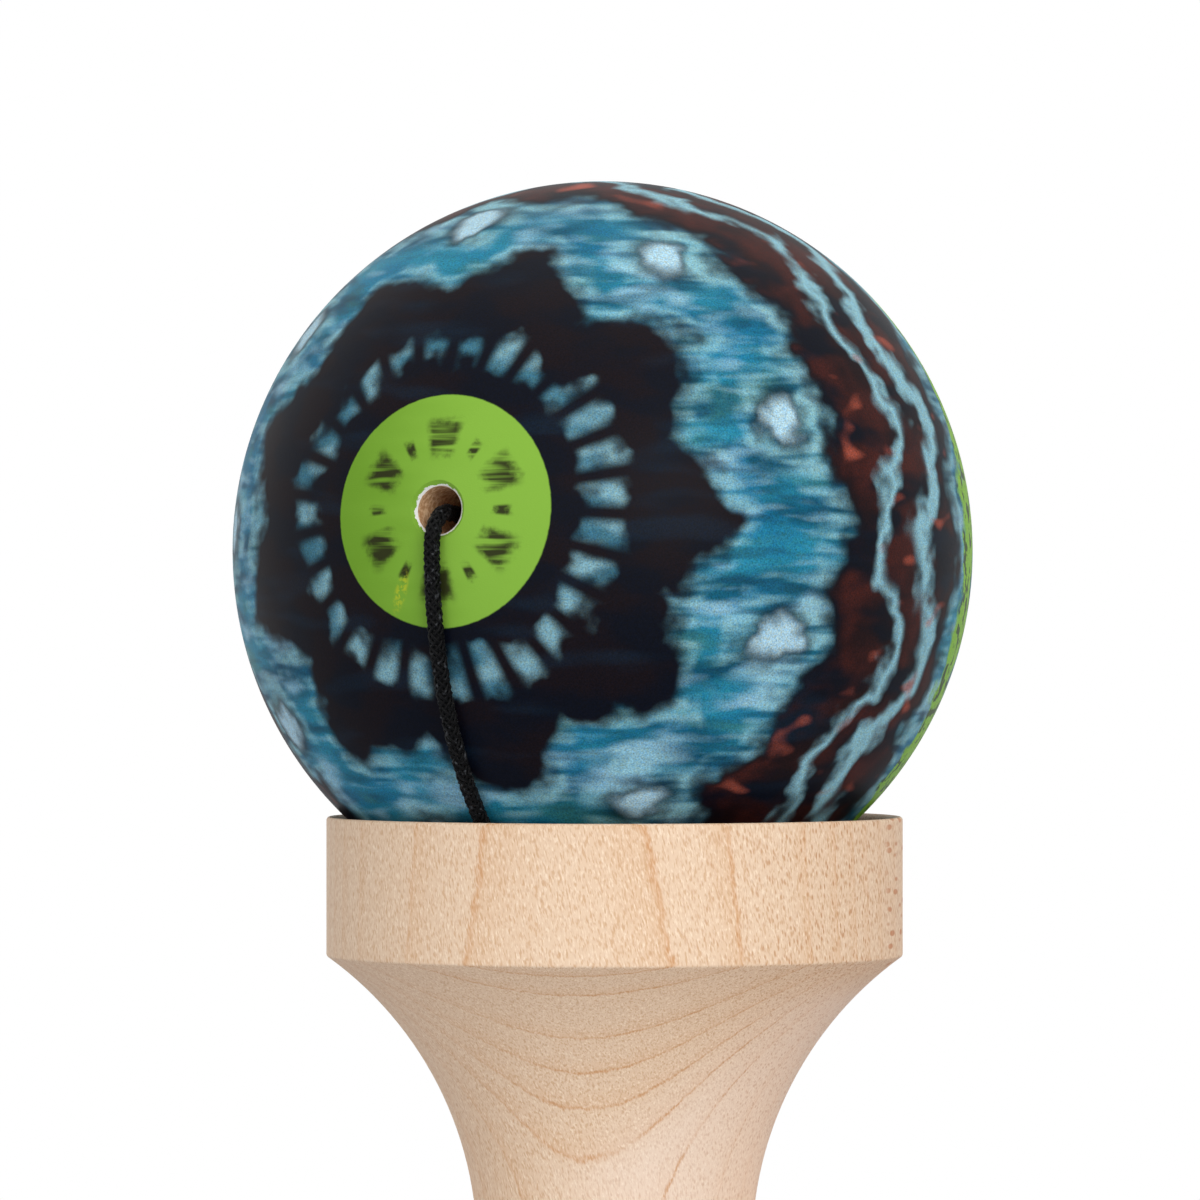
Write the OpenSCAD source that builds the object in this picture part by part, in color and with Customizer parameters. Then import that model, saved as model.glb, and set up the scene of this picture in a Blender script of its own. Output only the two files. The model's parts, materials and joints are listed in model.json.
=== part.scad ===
/* [Crosspiece] */
// Diameter of the big cup over its band
big_cup_d = 46.7; // [44:0.1:52]
// Diameter of the small cup over its band
small_cup_d = 43; // [38:0.1:48]
// Diameter of the waist between the two cups
waist_d = 22.3; // [21:0.1:26]
// Height from the handle's axis up to the big cup's rim
big_reach = 41; // [39:0.1:48]
// Height from the small cup's rim up to the handle's axis
small_reach = 37; // [34:0.1:44]
// Length of the straight part of the waist
waist_h = 12; // [11:0.1:16]
// Radius of the concave flare under the big cup
big_flare_r = 29.2; // [26:0.1:34]
// Radius of the concave flare over the small cup
small_flare_r = 25; // [22:0.1:30]
// Depth of the big cup's bowl below its rim
big_bowl_depth = 14; // [12.5:0.1:16]
// Depth of the small cup's bowl
small_bowl_depth = 10; // [6:0.1:13]
// Rounding of the big cup's lip, on the side that carries the ball
lip_round = 1; // [0.8:0.1:2]
// Width of the small cup's flat lip, on which the toy stands
small_lip_w = 2.2; // [1.6:0.1:3.5]
// Rounding of the turned outer edges of the rims
edge_round = 0.3; // [0.2:0.1:0.8]
// Rounding of the edge between each cup's band and its flare
band_round = 0.3; // [0.2:0.1:1.2]

/* [Handle] */
// Diameter of the spike where it leaves the crosspiece
spike_root_d = 10.6; // [9:0.1:12]
// Diameter of the spike's round tip
spike_tip_d = 6.2; // [5:0.1:7.5]
// Distance from the crosspiece's axis to the spike's tip
spike_reach = 50; // [40:0.5:60]
// Diameter of the tenon at the handle's shoulder
tenon_d = 11.8; // [11:0.1:13]
// Diameter of the shoulder that seats in the crosspiece
shoulder_d = 16.4; // [14.5:0.1:18]
// Length of the straight shoulder that stands out of its seat
shoulder_stand = 1.6; // [0.8:0.1:3]
// Largest diameter of the barrel-shaped grip
grip_d = 18.4; // [17.5:0.1:21]
// Distance from the crosspiece's axis to the thickest part of the grip
grip_middle = 36; // [28:0.5:44]
// Radius of the grip's long curve
grip_curve_r = 322; // [260:1:400]
// Distance from the crosspiece's axis to the end of the grip's curve
grip_end = 70; // [62:0.5:80]
// Radius of the concave flare in front of the base cup
base_flare_r = 28; // [24:0.5:34]
// Diameter of the base cup over its band
base_cup_d = 36.4; // [32:0.1:42]
// Length of the base cup's straight band
base_band_l = 10; // [8.5:0.1:16]
// Depth of the base cup's bowl
base_bowl_depth = 7; // [5:0.1:9]
// Width of the base cup's flat lip
base_lip_w = 2; // [1.2:0.1:3]
// Clearance of the tenon and shoulder in the crosspiece
tenon_fit = 0.05; // [0.02:0.01:0.15]

/* [Ball] */
// Diameter of the ball
ball_d = 60; // [56:0.1:66]
// Diameter of the hole that takes the spike
spike_bore_d = 22; // [18:0.1:24]
// Depth of the spike's hole from the ball's far pole
spike_bore_depth = 38; // [32:0.1:42]
// Bevel round the mouth of the spike's hole
bore_bevel = 1.5; // [0.5:0.1:2.5]
// Diameter of the string hole
string_hole_d = 3.8; // [3.6:0.1:5]
// Bevel round the mouth of the string hole
hole_bevel = 0.45; // [0.3:0.05:0.8]
// Angle of the string hole, left of straight ahead
hole_turn = 25.7; // [0:0.1:60]
// Angle of the string hole above level
hole_rise = 6; // [0:0.5:20]
// Sideways shift of the ball, which the string under it holds off the middle
ball_shift_x = -0.97; // [-1.1:0.01:1.1]
// Shift of the ball away from the viewer
ball_shift_y = 0.48; // [-0.6:0.01:0.6]

/* [String] */
// Diameter of the string
string_d = 1.25; // [1:0.05:1.4]
// Clearance of the string to the ball and to the wood
string_fit = 0.08; // [0.05:0.01:0.15]
// Gap between the two layers of the coil in the bowl
layer_gap = 0.5; // [0.45:0.05:0.7]
// Inner radius of the coil in the bowl
coil_inner_r = 8.2; // [7:0.1:9]
// Turns of the coil that wind inwards
coil_turns_in = 1.5; // [1:0.25:1.75]
// Full turns of the coil, before the part turn to the place where it leaves
coil_turns = 3; // [2:1:3]
// Direction in which the string leaves the bowl, from the right towards the back
leave_turn = 65; // [60:1:70]
// Diameter of the swivel bead inside the ball
bead_d = 8; // [7:0.1:10]
// Diameter of the hole through the bead
bead_hole_d = 2.4; // [2:0.1:2.8]
// Diameter of the knots
knot_d = 3.6; // [3.3:0.1:4]
// Diameter of the string hole in the waist
waist_hole_d = 2.6; // [2.2:0.1:3]

/* [Hidden] */
$fn = 96;

// Overlap of a cutting solid past the face that it cuts
past = 1;

// Crosspiece: its axis is Z, and it stands on the small cup's rim at Z = 0
axis_z = small_reach;
rim_z = small_reach + big_reach;
big_r = big_cup_d / 2;
small_r = small_cup_d / 2;
waist_r = waist_d / 2;
waist_top = axis_z + waist_h / 2;
waist_foot = axis_z - waist_h / 2;
// Centre and radius of the big bowl, which runs smoothly into the rounded lip
bowl_c = (big_r * big_r + lip_round * lip_round - pow(big_bowl_depth + lip_round, 2)) / (2 * big_bowl_depth);
bowl_r = bowl_c + big_bowl_depth;
bowl_z = rim_z + bowl_c;
// Radius of the small bowl, through the inner edge of the flat lip
small_mouth_r = small_r - small_lip_w;
small_bowl_r = (small_mouth_r * small_mouth_r + small_bowl_depth * small_bowl_depth) / (2 * small_bowl_depth);

// Handle: its axis is X, at the height axis_z
shoulder_r = shoulder_d / 2;
seat_r = shoulder_r + tenon_fit;
seat_x = sqrt(waist_r * waist_r - seat_r * seat_r);
// Growth of the tenon's radius with its length
tenon_taper = (tenon_d - spike_root_d) / 2 / (waist_r + seat_x);
// Length of the shoulder that is turned straight, so that it slides into its seat
shoulder_l = waist_r - seat_x + shoulder_stand;
grip_r = grip_d / 2;
grip_centre_r = grip_r - grip_curve_r;
// The flare starts on the grip's curve, with the same slope
grip_slope = asin((grip_end - grip_middle) / grip_curve_r);
flare_start_r = grip_centre_r + grip_curve_r * cos(grip_slope);
flare_x = grip_end + base_flare_r * sin(grip_slope);
flare_r = flare_start_r + base_flare_r * cos(grip_slope);
base_r = base_cup_d / 2;
base_band_x = flare_x + sqrt(pow(base_flare_r, 2) - pow(flare_r - base_r, 2));
base_x = base_band_x + base_band_l;
base_mouth_r = base_r - base_lip_w;
base_bowl_r = (base_mouth_r * base_mouth_r + base_bowl_depth * base_bowl_depth) / (2 * base_bowl_depth);
spike_tip_r = spike_tip_d / 2;
spike_tip_x = spike_tip_r - spike_reach;
spike_slope = atan((spike_root_d / 2 - spike_tip_r) / (spike_reach - spike_tip_r - waist_r));
// Length of a knot along the string, and its room in the tenon's pocket, which is wider than the waist's hole
knot_l = 2.4;
knot_fit = 0.3;
pocket_d = knot_d + 2 * knot_fit;
pocket_floor_y = 1.2;

// Ball: it rests on the string where that crosses the lip
ball_r = ball_d / 2;
string_r = string_d / 2;
lay_r = ball_r + string_fit + string_r;
lip_gap = string_d + 2 * string_fit;
ball_rise = sqrt(pow(ball_r + lip_gap + lip_round, 2) - big_r * big_r) - lip_round;
ball_xy = [ball_shift_x, ball_shift_y];
ball_c = [ball_shift_x, ball_shift_y, rim_z + ball_rise];
bore_floor = spike_bore_depth - ball_r;
bead_r = bead_d / 2;
// The bead sits in the mouth of the string hole
bead_e = bore_floor - sqrt(bead_r * bead_r - pow(string_hole_d / 2, 2)) - string_fit;
bead_knot_e = bead_e - bead_r - knot_l / 2 - string_fit;
knot_tail_l = 2;

// String: radii of its bends, and where its stretches meet
hole_bend_r = 2.6;
lip_bend_r = 2.6;
bowl_bend_r = 4;
waist_bend_r = 4;
waist_run = 1.2;
lead_end_e = 25;
meet_lat = -50;
string_sides = 8;
coil_sides = 6;
ring_step = 15;
settle_l = 11;
layer_rise = string_d + layer_gap;
enter_turn = 270 - hole_turn;

// Unit vector at an angle in plan, and the same turned a quarter turn to the left
function flat(a) = [cos(a), sin(a)];
function left(a) = [-sin(a), cos(a)];
function unit(v) = v / norm(v);
function up_to(p, z) = [p.x, p.y, z];

// Point at a radius and a height angle from the ball's middle, in the upright plane that faces angle a
function ball_point(a, radius, lat) =
    ball_c + up_to(flat(a) * radius * cos(lat), radius * sin(lat));

// Arc in that plane about a centre, from one height angle to another
function upright_arc(centre, a, radius, from, to, steps) = [
    for (i = [0:steps])
        let (b = from + (to - from) * i / steps)
        centre + up_to(flat(a) * radius * cos(b), radius * sin(b))
];

// String over the edge of its hole and down the ball's face
bend_drop = asin(hole_bend_r / (lay_r - hole_bend_r));
bend_lat = hole_rise - bend_drop;
bend_centre = ball_point(enter_turn, lay_r - hole_bend_r, bend_lat);
drape_points = concat(
    [ball_point(enter_turn, lead_end_e, hole_rise)],
    upright_arc(bend_centre, enter_turn, hole_bend_r, hole_rise + 90, bend_lat, 6),
    upright_arc(ball_c, enter_turn, lay_r, bend_lat - 5, meet_lat, 10)
);

// Coil in plan: from the edge of the bowl it bends into a spiral, winds in, climbs and winds out again
function meet_xy(a) = ball_xy + flat(a) * lay_r * cos(meet_lat);
function bend_start(a) = meet_xy(a) - flat(a) * string_d;
function bend_angle(a, side) =
    atan2(bend_start(a) * flat(a), bowl_bend_r + side * (bend_start(a) * left(a)));
function bend_xy(a, side, b) =
    bend_start(a) - flat(a) * bowl_bend_r * sin(b) + side * left(a) * bowl_bend_r * (1 - cos(b));
function bend_points(a, side) = concat(
    [meet_xy(a)],
    [for (i = [0:5]) bend_xy(a, side, bend_angle(a, side) * i / 6)]
);
function turn_of(p) = atan2(p.y, p.x);
spiral_in = bend_xy(enter_turn, 1, bend_angle(enter_turn, 1));
spiral_out = bend_xy(leave_turn, -1, bend_angle(leave_turn, -1));
spiral_from = turn_of(spiral_in);
spiral_turn = (turn_of(spiral_out) - spiral_from + 720) % 360 + coil_turns * 360;
wind_in = coil_turns_in * 360;
climb = 180;
wind_out = spiral_turn - wind_in - climb;
function spiral_r(a) =
    a < wind_in ? norm(spiral_in) + (coil_inner_r - norm(spiral_in)) * a / wind_in
    : a < wind_in + climb ? coil_inner_r
    : coil_inner_r + (norm(spiral_out) - coil_inner_r) * (a - wind_in - climb) / wind_out;
function ease(t) = t <= 0 ? 0 : t >= 1 ? 1 : t * t * (3 - 2 * t);
function layer_lift(a) = layer_rise * ease((a - wind_in) / climb);
function on_bowl(r, lift) = bowl_z - sqrt(pow(bowl_r - string_fit - string_r - lift, 2) - r * r);
function spiral_points(step) = [
    for (i = [0:ceil(spiral_turn / step)])
        let (a = spiral_turn * i / ceil(spiral_turn / step), r = spiral_r(a))
        up_to(r * flat(spiral_from + a), on_bowl(r, layer_lift(a)))
];
// At both ends the string comes down off the ball and settles on the bowl
function back_to_front(p) = [for (i = [len(p) - 1:-1:0]) p[i]];
function runs(p) = [
    for (i = 0, s = 0; i < len(p); s = s + (i + 1 < len(p) ? norm(p[i + 1] - p[i]) : 0), i = i + 1) s
];
function on_ball(p) = ball_c.z - sqrt(lay_r * lay_r - pow(norm([p.x, p.y] - ball_xy), 2));
function settled(p, s) = [
    for (i = [0:len(p) - 1])
        let (hug = on_ball(p[i]), f = ease(s[i] / settle_l))
        up_to(p[i], (1 - f) * hug + f * min(hug, p[i].z))
];
function with_bend(points, a, side) =
    let (bend = [for (p = bend_points(a, side)) up_to(p, on_bowl(norm(p), side > 0 ? 0 : layer_rise))],
         all = concat(bend, points))
    settled(all, runs([for (p = all) [p.x, p.y]]));
function coil_points(step) = back_to_front(with_bend(
    back_to_front(with_bend(spiral_points(step), enter_turn, 1)), leave_turn, -1));
coil = coil_points(ring_step);
// Direction of the string down the ball where its stretches meet
function down_ball(a) = up_to(flat(a) * sin(meet_lat), -cos(meet_lat));

// String from the bowl over the back of the lip, down in a loop and into the waist
leave_in = ball_xy * flat(leave_turn);
leave_s = sqrt(leave_in * leave_in - ball_xy * ball_xy + big_r * big_r) - leave_in;
cross_lat = -atan((ball_rise + lip_round) / leave_s);
lip_centre = ball_point(leave_turn, lay_r + lip_bend_r, cross_lat);
drop_xy = [lip_centre.x, lip_centre.y] + flat(leave_turn) * lip_bend_r;
rise_y = waist_r + waist_run + waist_bend_r;
loop_z = axis_z - waist_bend_r;
loop_span = [0, rise_y] - drop_xy;
loop_middle = up_to(drop_xy + loop_span / 2, loop_z);
loop_turn = turn_of(loop_span);
tail_end_y = pocket_floor_y + knot_fit;
handle_knot_y = spike_root_d / 2 - knot_l / 2 - knot_fit;
tail_points = concat(
    upright_arc(ball_c, leave_turn, lay_r, meet_lat, cross_lat, 2),
    upright_arc(lip_centre, leave_turn, lip_bend_r, cross_lat + 180 - 15, 0, 8),
    [for (f = [0.25, 0.5, 0.75]) up_to(drop_xy, lip_centre.z + (loop_z - lip_centre.z) * f)],
    upright_arc(loop_middle, loop_turn, norm(loop_span) / 2, 180, 360, 8),
    upright_arc([0, rise_y - waist_bend_r, loop_z], 90, waist_bend_r, 15, 90, 5),
    [[0, waist_r, axis_z], [0, tail_end_y, axis_z]]
);
side_axis = [-sin(leave_turn), cos(leave_turn), 0];

// Closed tube round a line of points; its rings are set out from one guide direction that no stretch follows
// Where a direction is given for an end, that end is cut square to it
function along(p) = [
    for (i = [0:len(p) - 1]) unit(p[min(i + 1, len(p) - 1)] - p[max(i - 1, 0)])
];
module tube(points, radius, sides, guide, from_dir = undef, to_dir = undef) {
    last = len(points) - 1;
    free = along(points);
    t = [
        for (i = [0:last])
            i == 0 && !is_undef(from_dir) ? from_dir : i == last && !is_undef(to_dir) ? to_dir : free[i]
    ];
    ring_points = [
        for (i = [0:last])
            let (b = unit(cross(t[i], guide)), n = cross(b, t[i]))
            for (k = [0:sides - 1]) points[i] + radius * (n * cos(k * 360 / sides) + b * sin(k * 360 / sides))
    ];
    walls = [
        for (i = [0:last - 1], k = [0:sides - 1])
            let (a = i * sides + k, b = i * sides + (k + 1) % sides)
            each [[a, b, b + sides], [a, b + sides, a + sides]]
    ];
    ends = [
        for (k = [1:sides - 2])
            each [[0, k + 1, k], [last * sides, last * sides + k, last * sides + k + 1]]
    ];
    polyhedron(points = ring_points, faces = concat(walls, ends));
}

// Least gap of the coil to itself, measured on points a quarter of the tube's step apart
fine = coil_points(ring_step / 4);
skip = 12;
self_gap = min([
    for (i = [0:len(fine) - 1], j = [i + skip:1:len(fine) - 1]) norm(fine[i] - fine[j])
]) - string_d;
function length_of(p) = runs(p)[len(p) - 1];
lead_l = lead_end_e - bead_knot_e + knot_l / 2;
string_l = lead_l + length_of(drape_points) + length_of(fine) + length_of(tail_points);
echo(coil_self_gap_mm = self_gap);
echo(string_length_mm = string_l);
echo(ball_rise_mm = ball_rise, base_x_mm = base_x, ball_middle_mm = ball_c);

// Shapes that the pieces share

// Corner of a turned edge, to be cut away so that the edge is round
module edge_cut(r, dir_r, dir_z) {
    translate([-dir_r * r, -dir_z * r])
        difference() {
            translate([dir_r > 0 ? 0 : -r - past, dir_z > 0 ? 0 : -r - past])
                square(r + past);
            circle(r);
        }
}

// Corner between a cup's straight band and its flare, cut away round; side is 1 where the band lies past the flare
module band_edge_cut(band_r, flare_centre, flare_radius, side) {
    centre_r = band_r - band_round;
    reach = sqrt(pow(flare_radius + band_round, 2) - pow(flare_centre.x - centre_r, 2));
    centre = [centre_r, flare_centre.y + side * reach];
    out = [3 * band_round, 0];
    back = 3 * band_round * unit(flare_centre - centre);
    difference() {
        polygon([centre, centre + out, centre + out + back, centre + back]);
        translate(centre)
            circle(band_round);
    }
}

// Places a shape made along Z on the handle's axis, with +Z becoming +X
module on_handle_axis() {
    translate([0, 0, axis_z])
        rotate([0, 90, 0])
            children();
}

// Places a shape made along Z on the ball's string axis, with +Z towards the string hole
module on_string_axis() {
    translate(ball_c)
        rotate([0, 90 - hole_rise, enter_turn])
            children();
}

// Knot as a firm round ring on the string
module knot_ring() {
    tube_r = knot_l / 2;
    rotate_extrude()
        difference() {
            union() {
                translate([knot_d / 2 - tube_r, 0])
                    circle(tube_r);
                translate([0, -tube_r])
                    square([knot_d / 2 - tube_r, 2 * tube_r]);
            }
            translate([-past, -past - tube_r])
                square([past + string_r + string_fit / 4, 2 * (tube_r + past)]);
        }
}

// Outline of the big bowl with its rounded lip, to be cut out of the turned blank
module big_bowl_outline() {
    translate([0, bowl_z])
        circle(bowl_r);
    difference() {
        polygon([[0, bowl_z], [big_r, rim_z - lip_round], [big_r, rim_z + past]]);
        translate([big_r, rim_z - lip_round])
            circle(lip_round);
    }
}

// Turned outline of the crosspiece
module crosspiece_outline() {
    difference() {
        union() {
            translate([0, axis_z])
                square([big_r, big_reach]);
            square([small_r, small_reach]);
        }
        translate([waist_r + big_flare_r, waist_top])
            circle(big_flare_r);
        translate([waist_r + small_flare_r, waist_foot])
            circle(small_flare_r);
        translate([waist_r, waist_foot])
            square([big_r, waist_h]);
        big_bowl_outline();
        translate([0, small_bowl_depth - small_bowl_r])
            circle(small_bowl_r);
        band_edge_cut(big_r, [waist_r + big_flare_r, waist_top], big_flare_r, 1);
        band_edge_cut(small_r, [waist_r + small_flare_r, waist_foot], small_flare_r, -1);
        translate([big_r, rim_z])
            edge_cut(edge_round, 1, 1);
        translate([small_r, 0])
            edge_cut(edge_round, 1, -1);
    }
}

// Turned two-cup crosspiece, drilled for the handle and for the string
module crosspiece() {
    color("burlywood")
        difference() {
            rotate_extrude()
                intersection() {
                    crosspiece_outline();
                    square([big_r, rim_z]);
                }
            on_handle_axis()
                translate([0, 0, -waist_r - past])
                    cylinder(
                        h = waist_r + seat_x + 2 * past,
                        r1 = spike_root_d / 2 + tenon_fit - tenon_taper * past,
                        r2 = tenon_d / 2 + tenon_fit + tenon_taper * past
                    );
            on_handle_axis()
                translate([0, 0, seat_x])
                    cylinder(h = waist_r, r = seat_r);
            translate([0, 0, axis_z])
                rotate([-90, 0, 0])
                    cylinder(h = waist_r + past, d = waist_hole_d);
        }
}

// Turned outline of the handle, with its length along Y
module handle_outline() {
    tip_edge_r = spike_tip_r * cos(spike_slope);
    tip_edge_x = spike_tip_x - spike_tip_r * sin(spike_slope);
    translate([0, spike_tip_x])
        intersection() {
            circle(spike_tip_r);
            translate([0, -spike_tip_r])
                square([spike_tip_r, spike_tip_r]);
        }
    polygon([[0, tip_edge_x], [tip_edge_r, tip_edge_x], [spike_root_d / 2, -waist_r],
             [tenon_d / 2, seat_x], [tenon_d / 2, grip_end + past], [0, grip_end + past]]);
    difference() {
        union() {
            intersection() {
                translate([grip_centre_r, grip_middle])
                    circle(grip_curve_r, $fn = 720);
                translate([0, seat_x + tenon_fit])
                    square([grip_r, grip_end - seat_x - tenon_fit]);
            }
            difference() {
                translate([0, grip_end])
                    square([base_r, base_x - grip_end]);
                translate([flare_r, flare_x])
                    circle(base_flare_r);
                translate([0, base_x - base_bowl_depth + base_bowl_r])
                    circle(base_bowl_r);
            }
        }
        translate([shoulder_r, seat_x])
            square([grip_r, shoulder_l]);
        band_edge_cut(base_r, [flare_r, flare_x], base_flare_r, 1);
        translate([base_r, base_x])
            edge_cut(edge_round, 1, 1);
    }
}

// Handle with its spike, tenon, grip and base cup, and the knot's pocket
module handle() {
    color("burlywood")
        difference() {
            on_handle_axis()
                rotate_extrude()
                    handle_outline();
            translate([0, pocket_floor_y, axis_z])
                rotate([-90, 0, 0])
                    cylinder(h = tenon_d, d = pocket_d);
        }
}

// Ball, drilled from one side for the spike and from the other for the string
module ball() {
    mouth_e = sqrt(ball_r * ball_r - pow(spike_bore_d / 2, 2));
    hole_e = sqrt(ball_r * ball_r - pow(string_hole_d / 2, 2));
    color("teal")
        on_string_axis()
            difference() {
                sphere(ball_r);
                translate([0, 0, -ball_r - past])
                    cylinder(h = spike_bore_depth + past, d = spike_bore_d);
                translate([0, 0, -mouth_e - past])
                    cylinder(h = bore_bevel + past, r1 = spike_bore_d / 2 + bore_bevel + past, r2 = spike_bore_d / 2);
                cylinder(h = ball_d, d = string_hole_d);
                translate([0, 0, hole_e - hole_bevel])
                    cylinder(h = hole_bevel + past, r1 = string_hole_d / 2, r2 = string_hole_d / 2 + hole_bevel + past);
            }
}

// Bead that lets the ball spin without twisting the string
module swivel_bead() {
    color("tan")
        on_string_axis()
            translate([0, 0, bead_e])
                difference() {
                    sphere(bead_r);
                    cylinder(h = bead_d + past, d = bead_hole_d, center = true);
                }
}

// Knot under the bead
module bead_knot() {
    color("dimgray")
        on_string_axis()
            translate([0, 0, bead_knot_e])
                knot_ring();
}

// String inside the ball, from its cut end through the knot and the bead
module string_lead() {
    start_e = bead_knot_e - knot_l / 2 - knot_tail_l;
    color("dimgray")
        on_string_axis()
            translate([0, 0, start_e])
                cylinder(h = lead_end_e - start_e, r = string_r);
}

// String over the edge of the hole and down to the lip
module string_drape() {
    color("dimgray")
        tube(drape_points, string_r, string_sides, up_to(left(enter_turn), 0), to_dir = down_ball(enter_turn));
}

// String put away in the bowl under the ball
module string_coil() {
    color("dimgray")
        tube(coil, string_r, coil_sides, [0, 0, 1],
             from_dir = down_ball(enter_turn), to_dir = -down_ball(leave_turn));
}

// String over the back of the lip, in a loop to the waist and through it to the knot
module string_tail() {
    color("dimgray")
        tube(tail_points, string_r, string_sides, side_axis, from_dir = -down_ball(leave_turn));
}

// Knot in the tenon's pocket, behind the waist's string hole
module handle_knot() {
    color("dimgray")
        translate([0, handle_knot_y, axis_z])
            rotate([-90, 0, 0])
                knot_ring();
}

crosspiece();
handle();
ball();
swivel_bead();
bead_knot();
string_lead();
string_drape();
string_coil();
string_tail();
handle_knot();
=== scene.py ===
# %% [markdown]
# # Cup and ball toy
# The toy is a turned wooden crosspiece with two cups, a turned handle through its waist, and a
# printed wooden ball that rests on the big cup with the string trapped under it.
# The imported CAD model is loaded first, and everything below is made in its frame, in metres.

# %% Load the frame
import json
import math

import bmesh
import bpy
import numpy as np
from mathutils import Matrix, Vector

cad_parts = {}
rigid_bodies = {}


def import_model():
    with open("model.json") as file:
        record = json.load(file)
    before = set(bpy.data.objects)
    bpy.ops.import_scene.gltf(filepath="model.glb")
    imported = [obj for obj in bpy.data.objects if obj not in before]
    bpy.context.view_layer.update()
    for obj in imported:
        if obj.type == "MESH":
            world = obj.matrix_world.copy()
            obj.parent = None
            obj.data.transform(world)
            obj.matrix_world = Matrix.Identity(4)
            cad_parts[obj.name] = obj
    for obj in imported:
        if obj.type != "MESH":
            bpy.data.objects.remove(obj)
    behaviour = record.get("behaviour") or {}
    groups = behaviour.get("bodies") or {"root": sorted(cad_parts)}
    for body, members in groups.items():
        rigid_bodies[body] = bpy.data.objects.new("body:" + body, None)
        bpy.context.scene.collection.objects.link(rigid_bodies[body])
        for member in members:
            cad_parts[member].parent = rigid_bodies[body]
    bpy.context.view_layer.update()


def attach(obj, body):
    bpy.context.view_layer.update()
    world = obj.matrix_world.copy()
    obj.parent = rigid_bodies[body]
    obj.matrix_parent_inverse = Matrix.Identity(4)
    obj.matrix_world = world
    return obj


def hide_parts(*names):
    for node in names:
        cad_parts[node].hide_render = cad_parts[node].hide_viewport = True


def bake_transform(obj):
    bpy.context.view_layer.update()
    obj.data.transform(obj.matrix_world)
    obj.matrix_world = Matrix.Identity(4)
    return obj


for leftover in list(bpy.data.objects):
    bpy.data.objects.remove(leftover)
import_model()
MM = 0.001

# %% [markdown]
# ## Camera
# The photograph is a long-lens close-up from straight ahead, level, a little above the big cup's rim.
# A lens of 259 mm at 0.7 m makes the frame about 97 mm wide at the cup's axis. The camera stands
# level and isn't shifted, so the sides of the cup stay upright.

# %% Make the camera
CAMERA_PLACE = Vector((-1.18, -700.0, 95.53)) * MM
LENS, SENSOR = 259, 36


def new_object(name, data):
    """Puts a new object with its data into the scene."""
    item = bpy.data.objects.new(name, data)
    bpy.context.scene.collection.objects.link(item)
    return item


camera = new_object("camera", bpy.data.cameras.new("camera"))
camera.data.sensor_width = SENSOR
camera.data.lens = LENS
camera.data.clip_start = 0.05
camera.data.clip_end = 20
camera.location = CAMERA_PLACE
camera.rotation_euler = (math.radians(90), 0, 0)
bpy.context.scene.camera = camera
bpy.context.scene.view_settings.view_transform = "Standard"
print("camera at", tuple(round(c, 4) for c in CAMERA_PLACE))

# %% [markdown]
# ## Sizes
# These are the measures of the CAD source that the looks have to repeat, in millimetres. The big
# bowl runs smoothly into its round lip, and the ball sits where the string under it holds it.

# %% Sizes of the turned pieces
BIG_R, SMALL_R, WAIST_R = 23.35, 21.5, 11.15
AXIS_Z, RIM_Z = 37.0, 78.0
WAIST_H, BIG_FLARE_R, SMALL_FLARE_R = 12.0, 29.2, 25.0
BIG_BOWL_DEPTH, SMALL_BOWL_DEPTH = 14.0, 10.0
LIP_ROUND, SMALL_LIP_W, EDGE_ROUND, BAND_ROUND = 1.0, 2.2, 0.3, 0.3
BALL_R, SPIKE_BORE_R, BORE_BEVEL = 30.0, 11.0, 1.5
STRING_HOLE_R, HOLE_BEVEL, HOLE_TURN, HOLE_RISE = 1.9, 0.45, 25.7, 6.0
BOWL_C = (BIG_R**2 + LIP_ROUND**2 - (BIG_BOWL_DEPTH + LIP_ROUND) ** 2) / (2 * BIG_BOWL_DEPTH)
BOWL_R = BOWL_C + BIG_BOWL_DEPTH
BOWL_Z = RIM_Z + BOWL_C
STRING_R, STRING_FIT = 0.625, 0.08
LAY_R = BALL_R + STRING_FIT + STRING_R
BALL_RISE = (
    math.sqrt((BALL_R + 2 * STRING_R + 2 * STRING_FIT + LIP_ROUND) ** 2 - BIG_R**2) - LIP_ROUND
)
BALL_XY = np.array([-0.97, 0.48])
BALL_C = np.array([*BALL_XY, RIM_Z + BALL_RISE])
BORE_FLOOR, BEAD_R, BEAD_HOLE_R = 8.0, 4.0, 1.2
BEAD_E = BORE_FLOOR - math.sqrt(BEAD_R**2 - STRING_HOLE_R**2) - STRING_FIT
KNOT_L, KNOT_TAIL_L, KNOT_FIT = 2.4, 2.0, 0.3
BEAD_KNOT_E = BEAD_E - BEAD_R - KNOT_L / 2 - STRING_FIT
SPIKE_ROOT_R, POCKET_FLOOR_Y = 5.3, 1.2
HANDLE_KNOT_Y = SPIKE_ROOT_R - KNOT_L / 2 - KNOT_FIT
print("ball's middle at", BALL_C.round(3), "mm")

# %% [markdown]
# ## Route of the string
# One string of about 0.41 m runs from the knot behind the bead, out of the ball's hole, down the
# ball's face and over the lip. The length that doesn't show is put away in the bowl, where it winds
# in and out again in two layers. It leaves over the back of the lip and hangs in a loop to the
# waist. The route repeats the CAD source's formulas with finer steps, so the string lies where its
# solids are. Where one arc follows another, its first degrees are skipped, so that no two points
# fall together.

# %% Directions and arcs
ENTER_TURN = 270 - HOLE_TURN


def flat(a):
    """Unit vector at an angle in plan."""
    return np.array([math.cos(math.radians(a)), math.sin(math.radians(a))])


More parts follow.
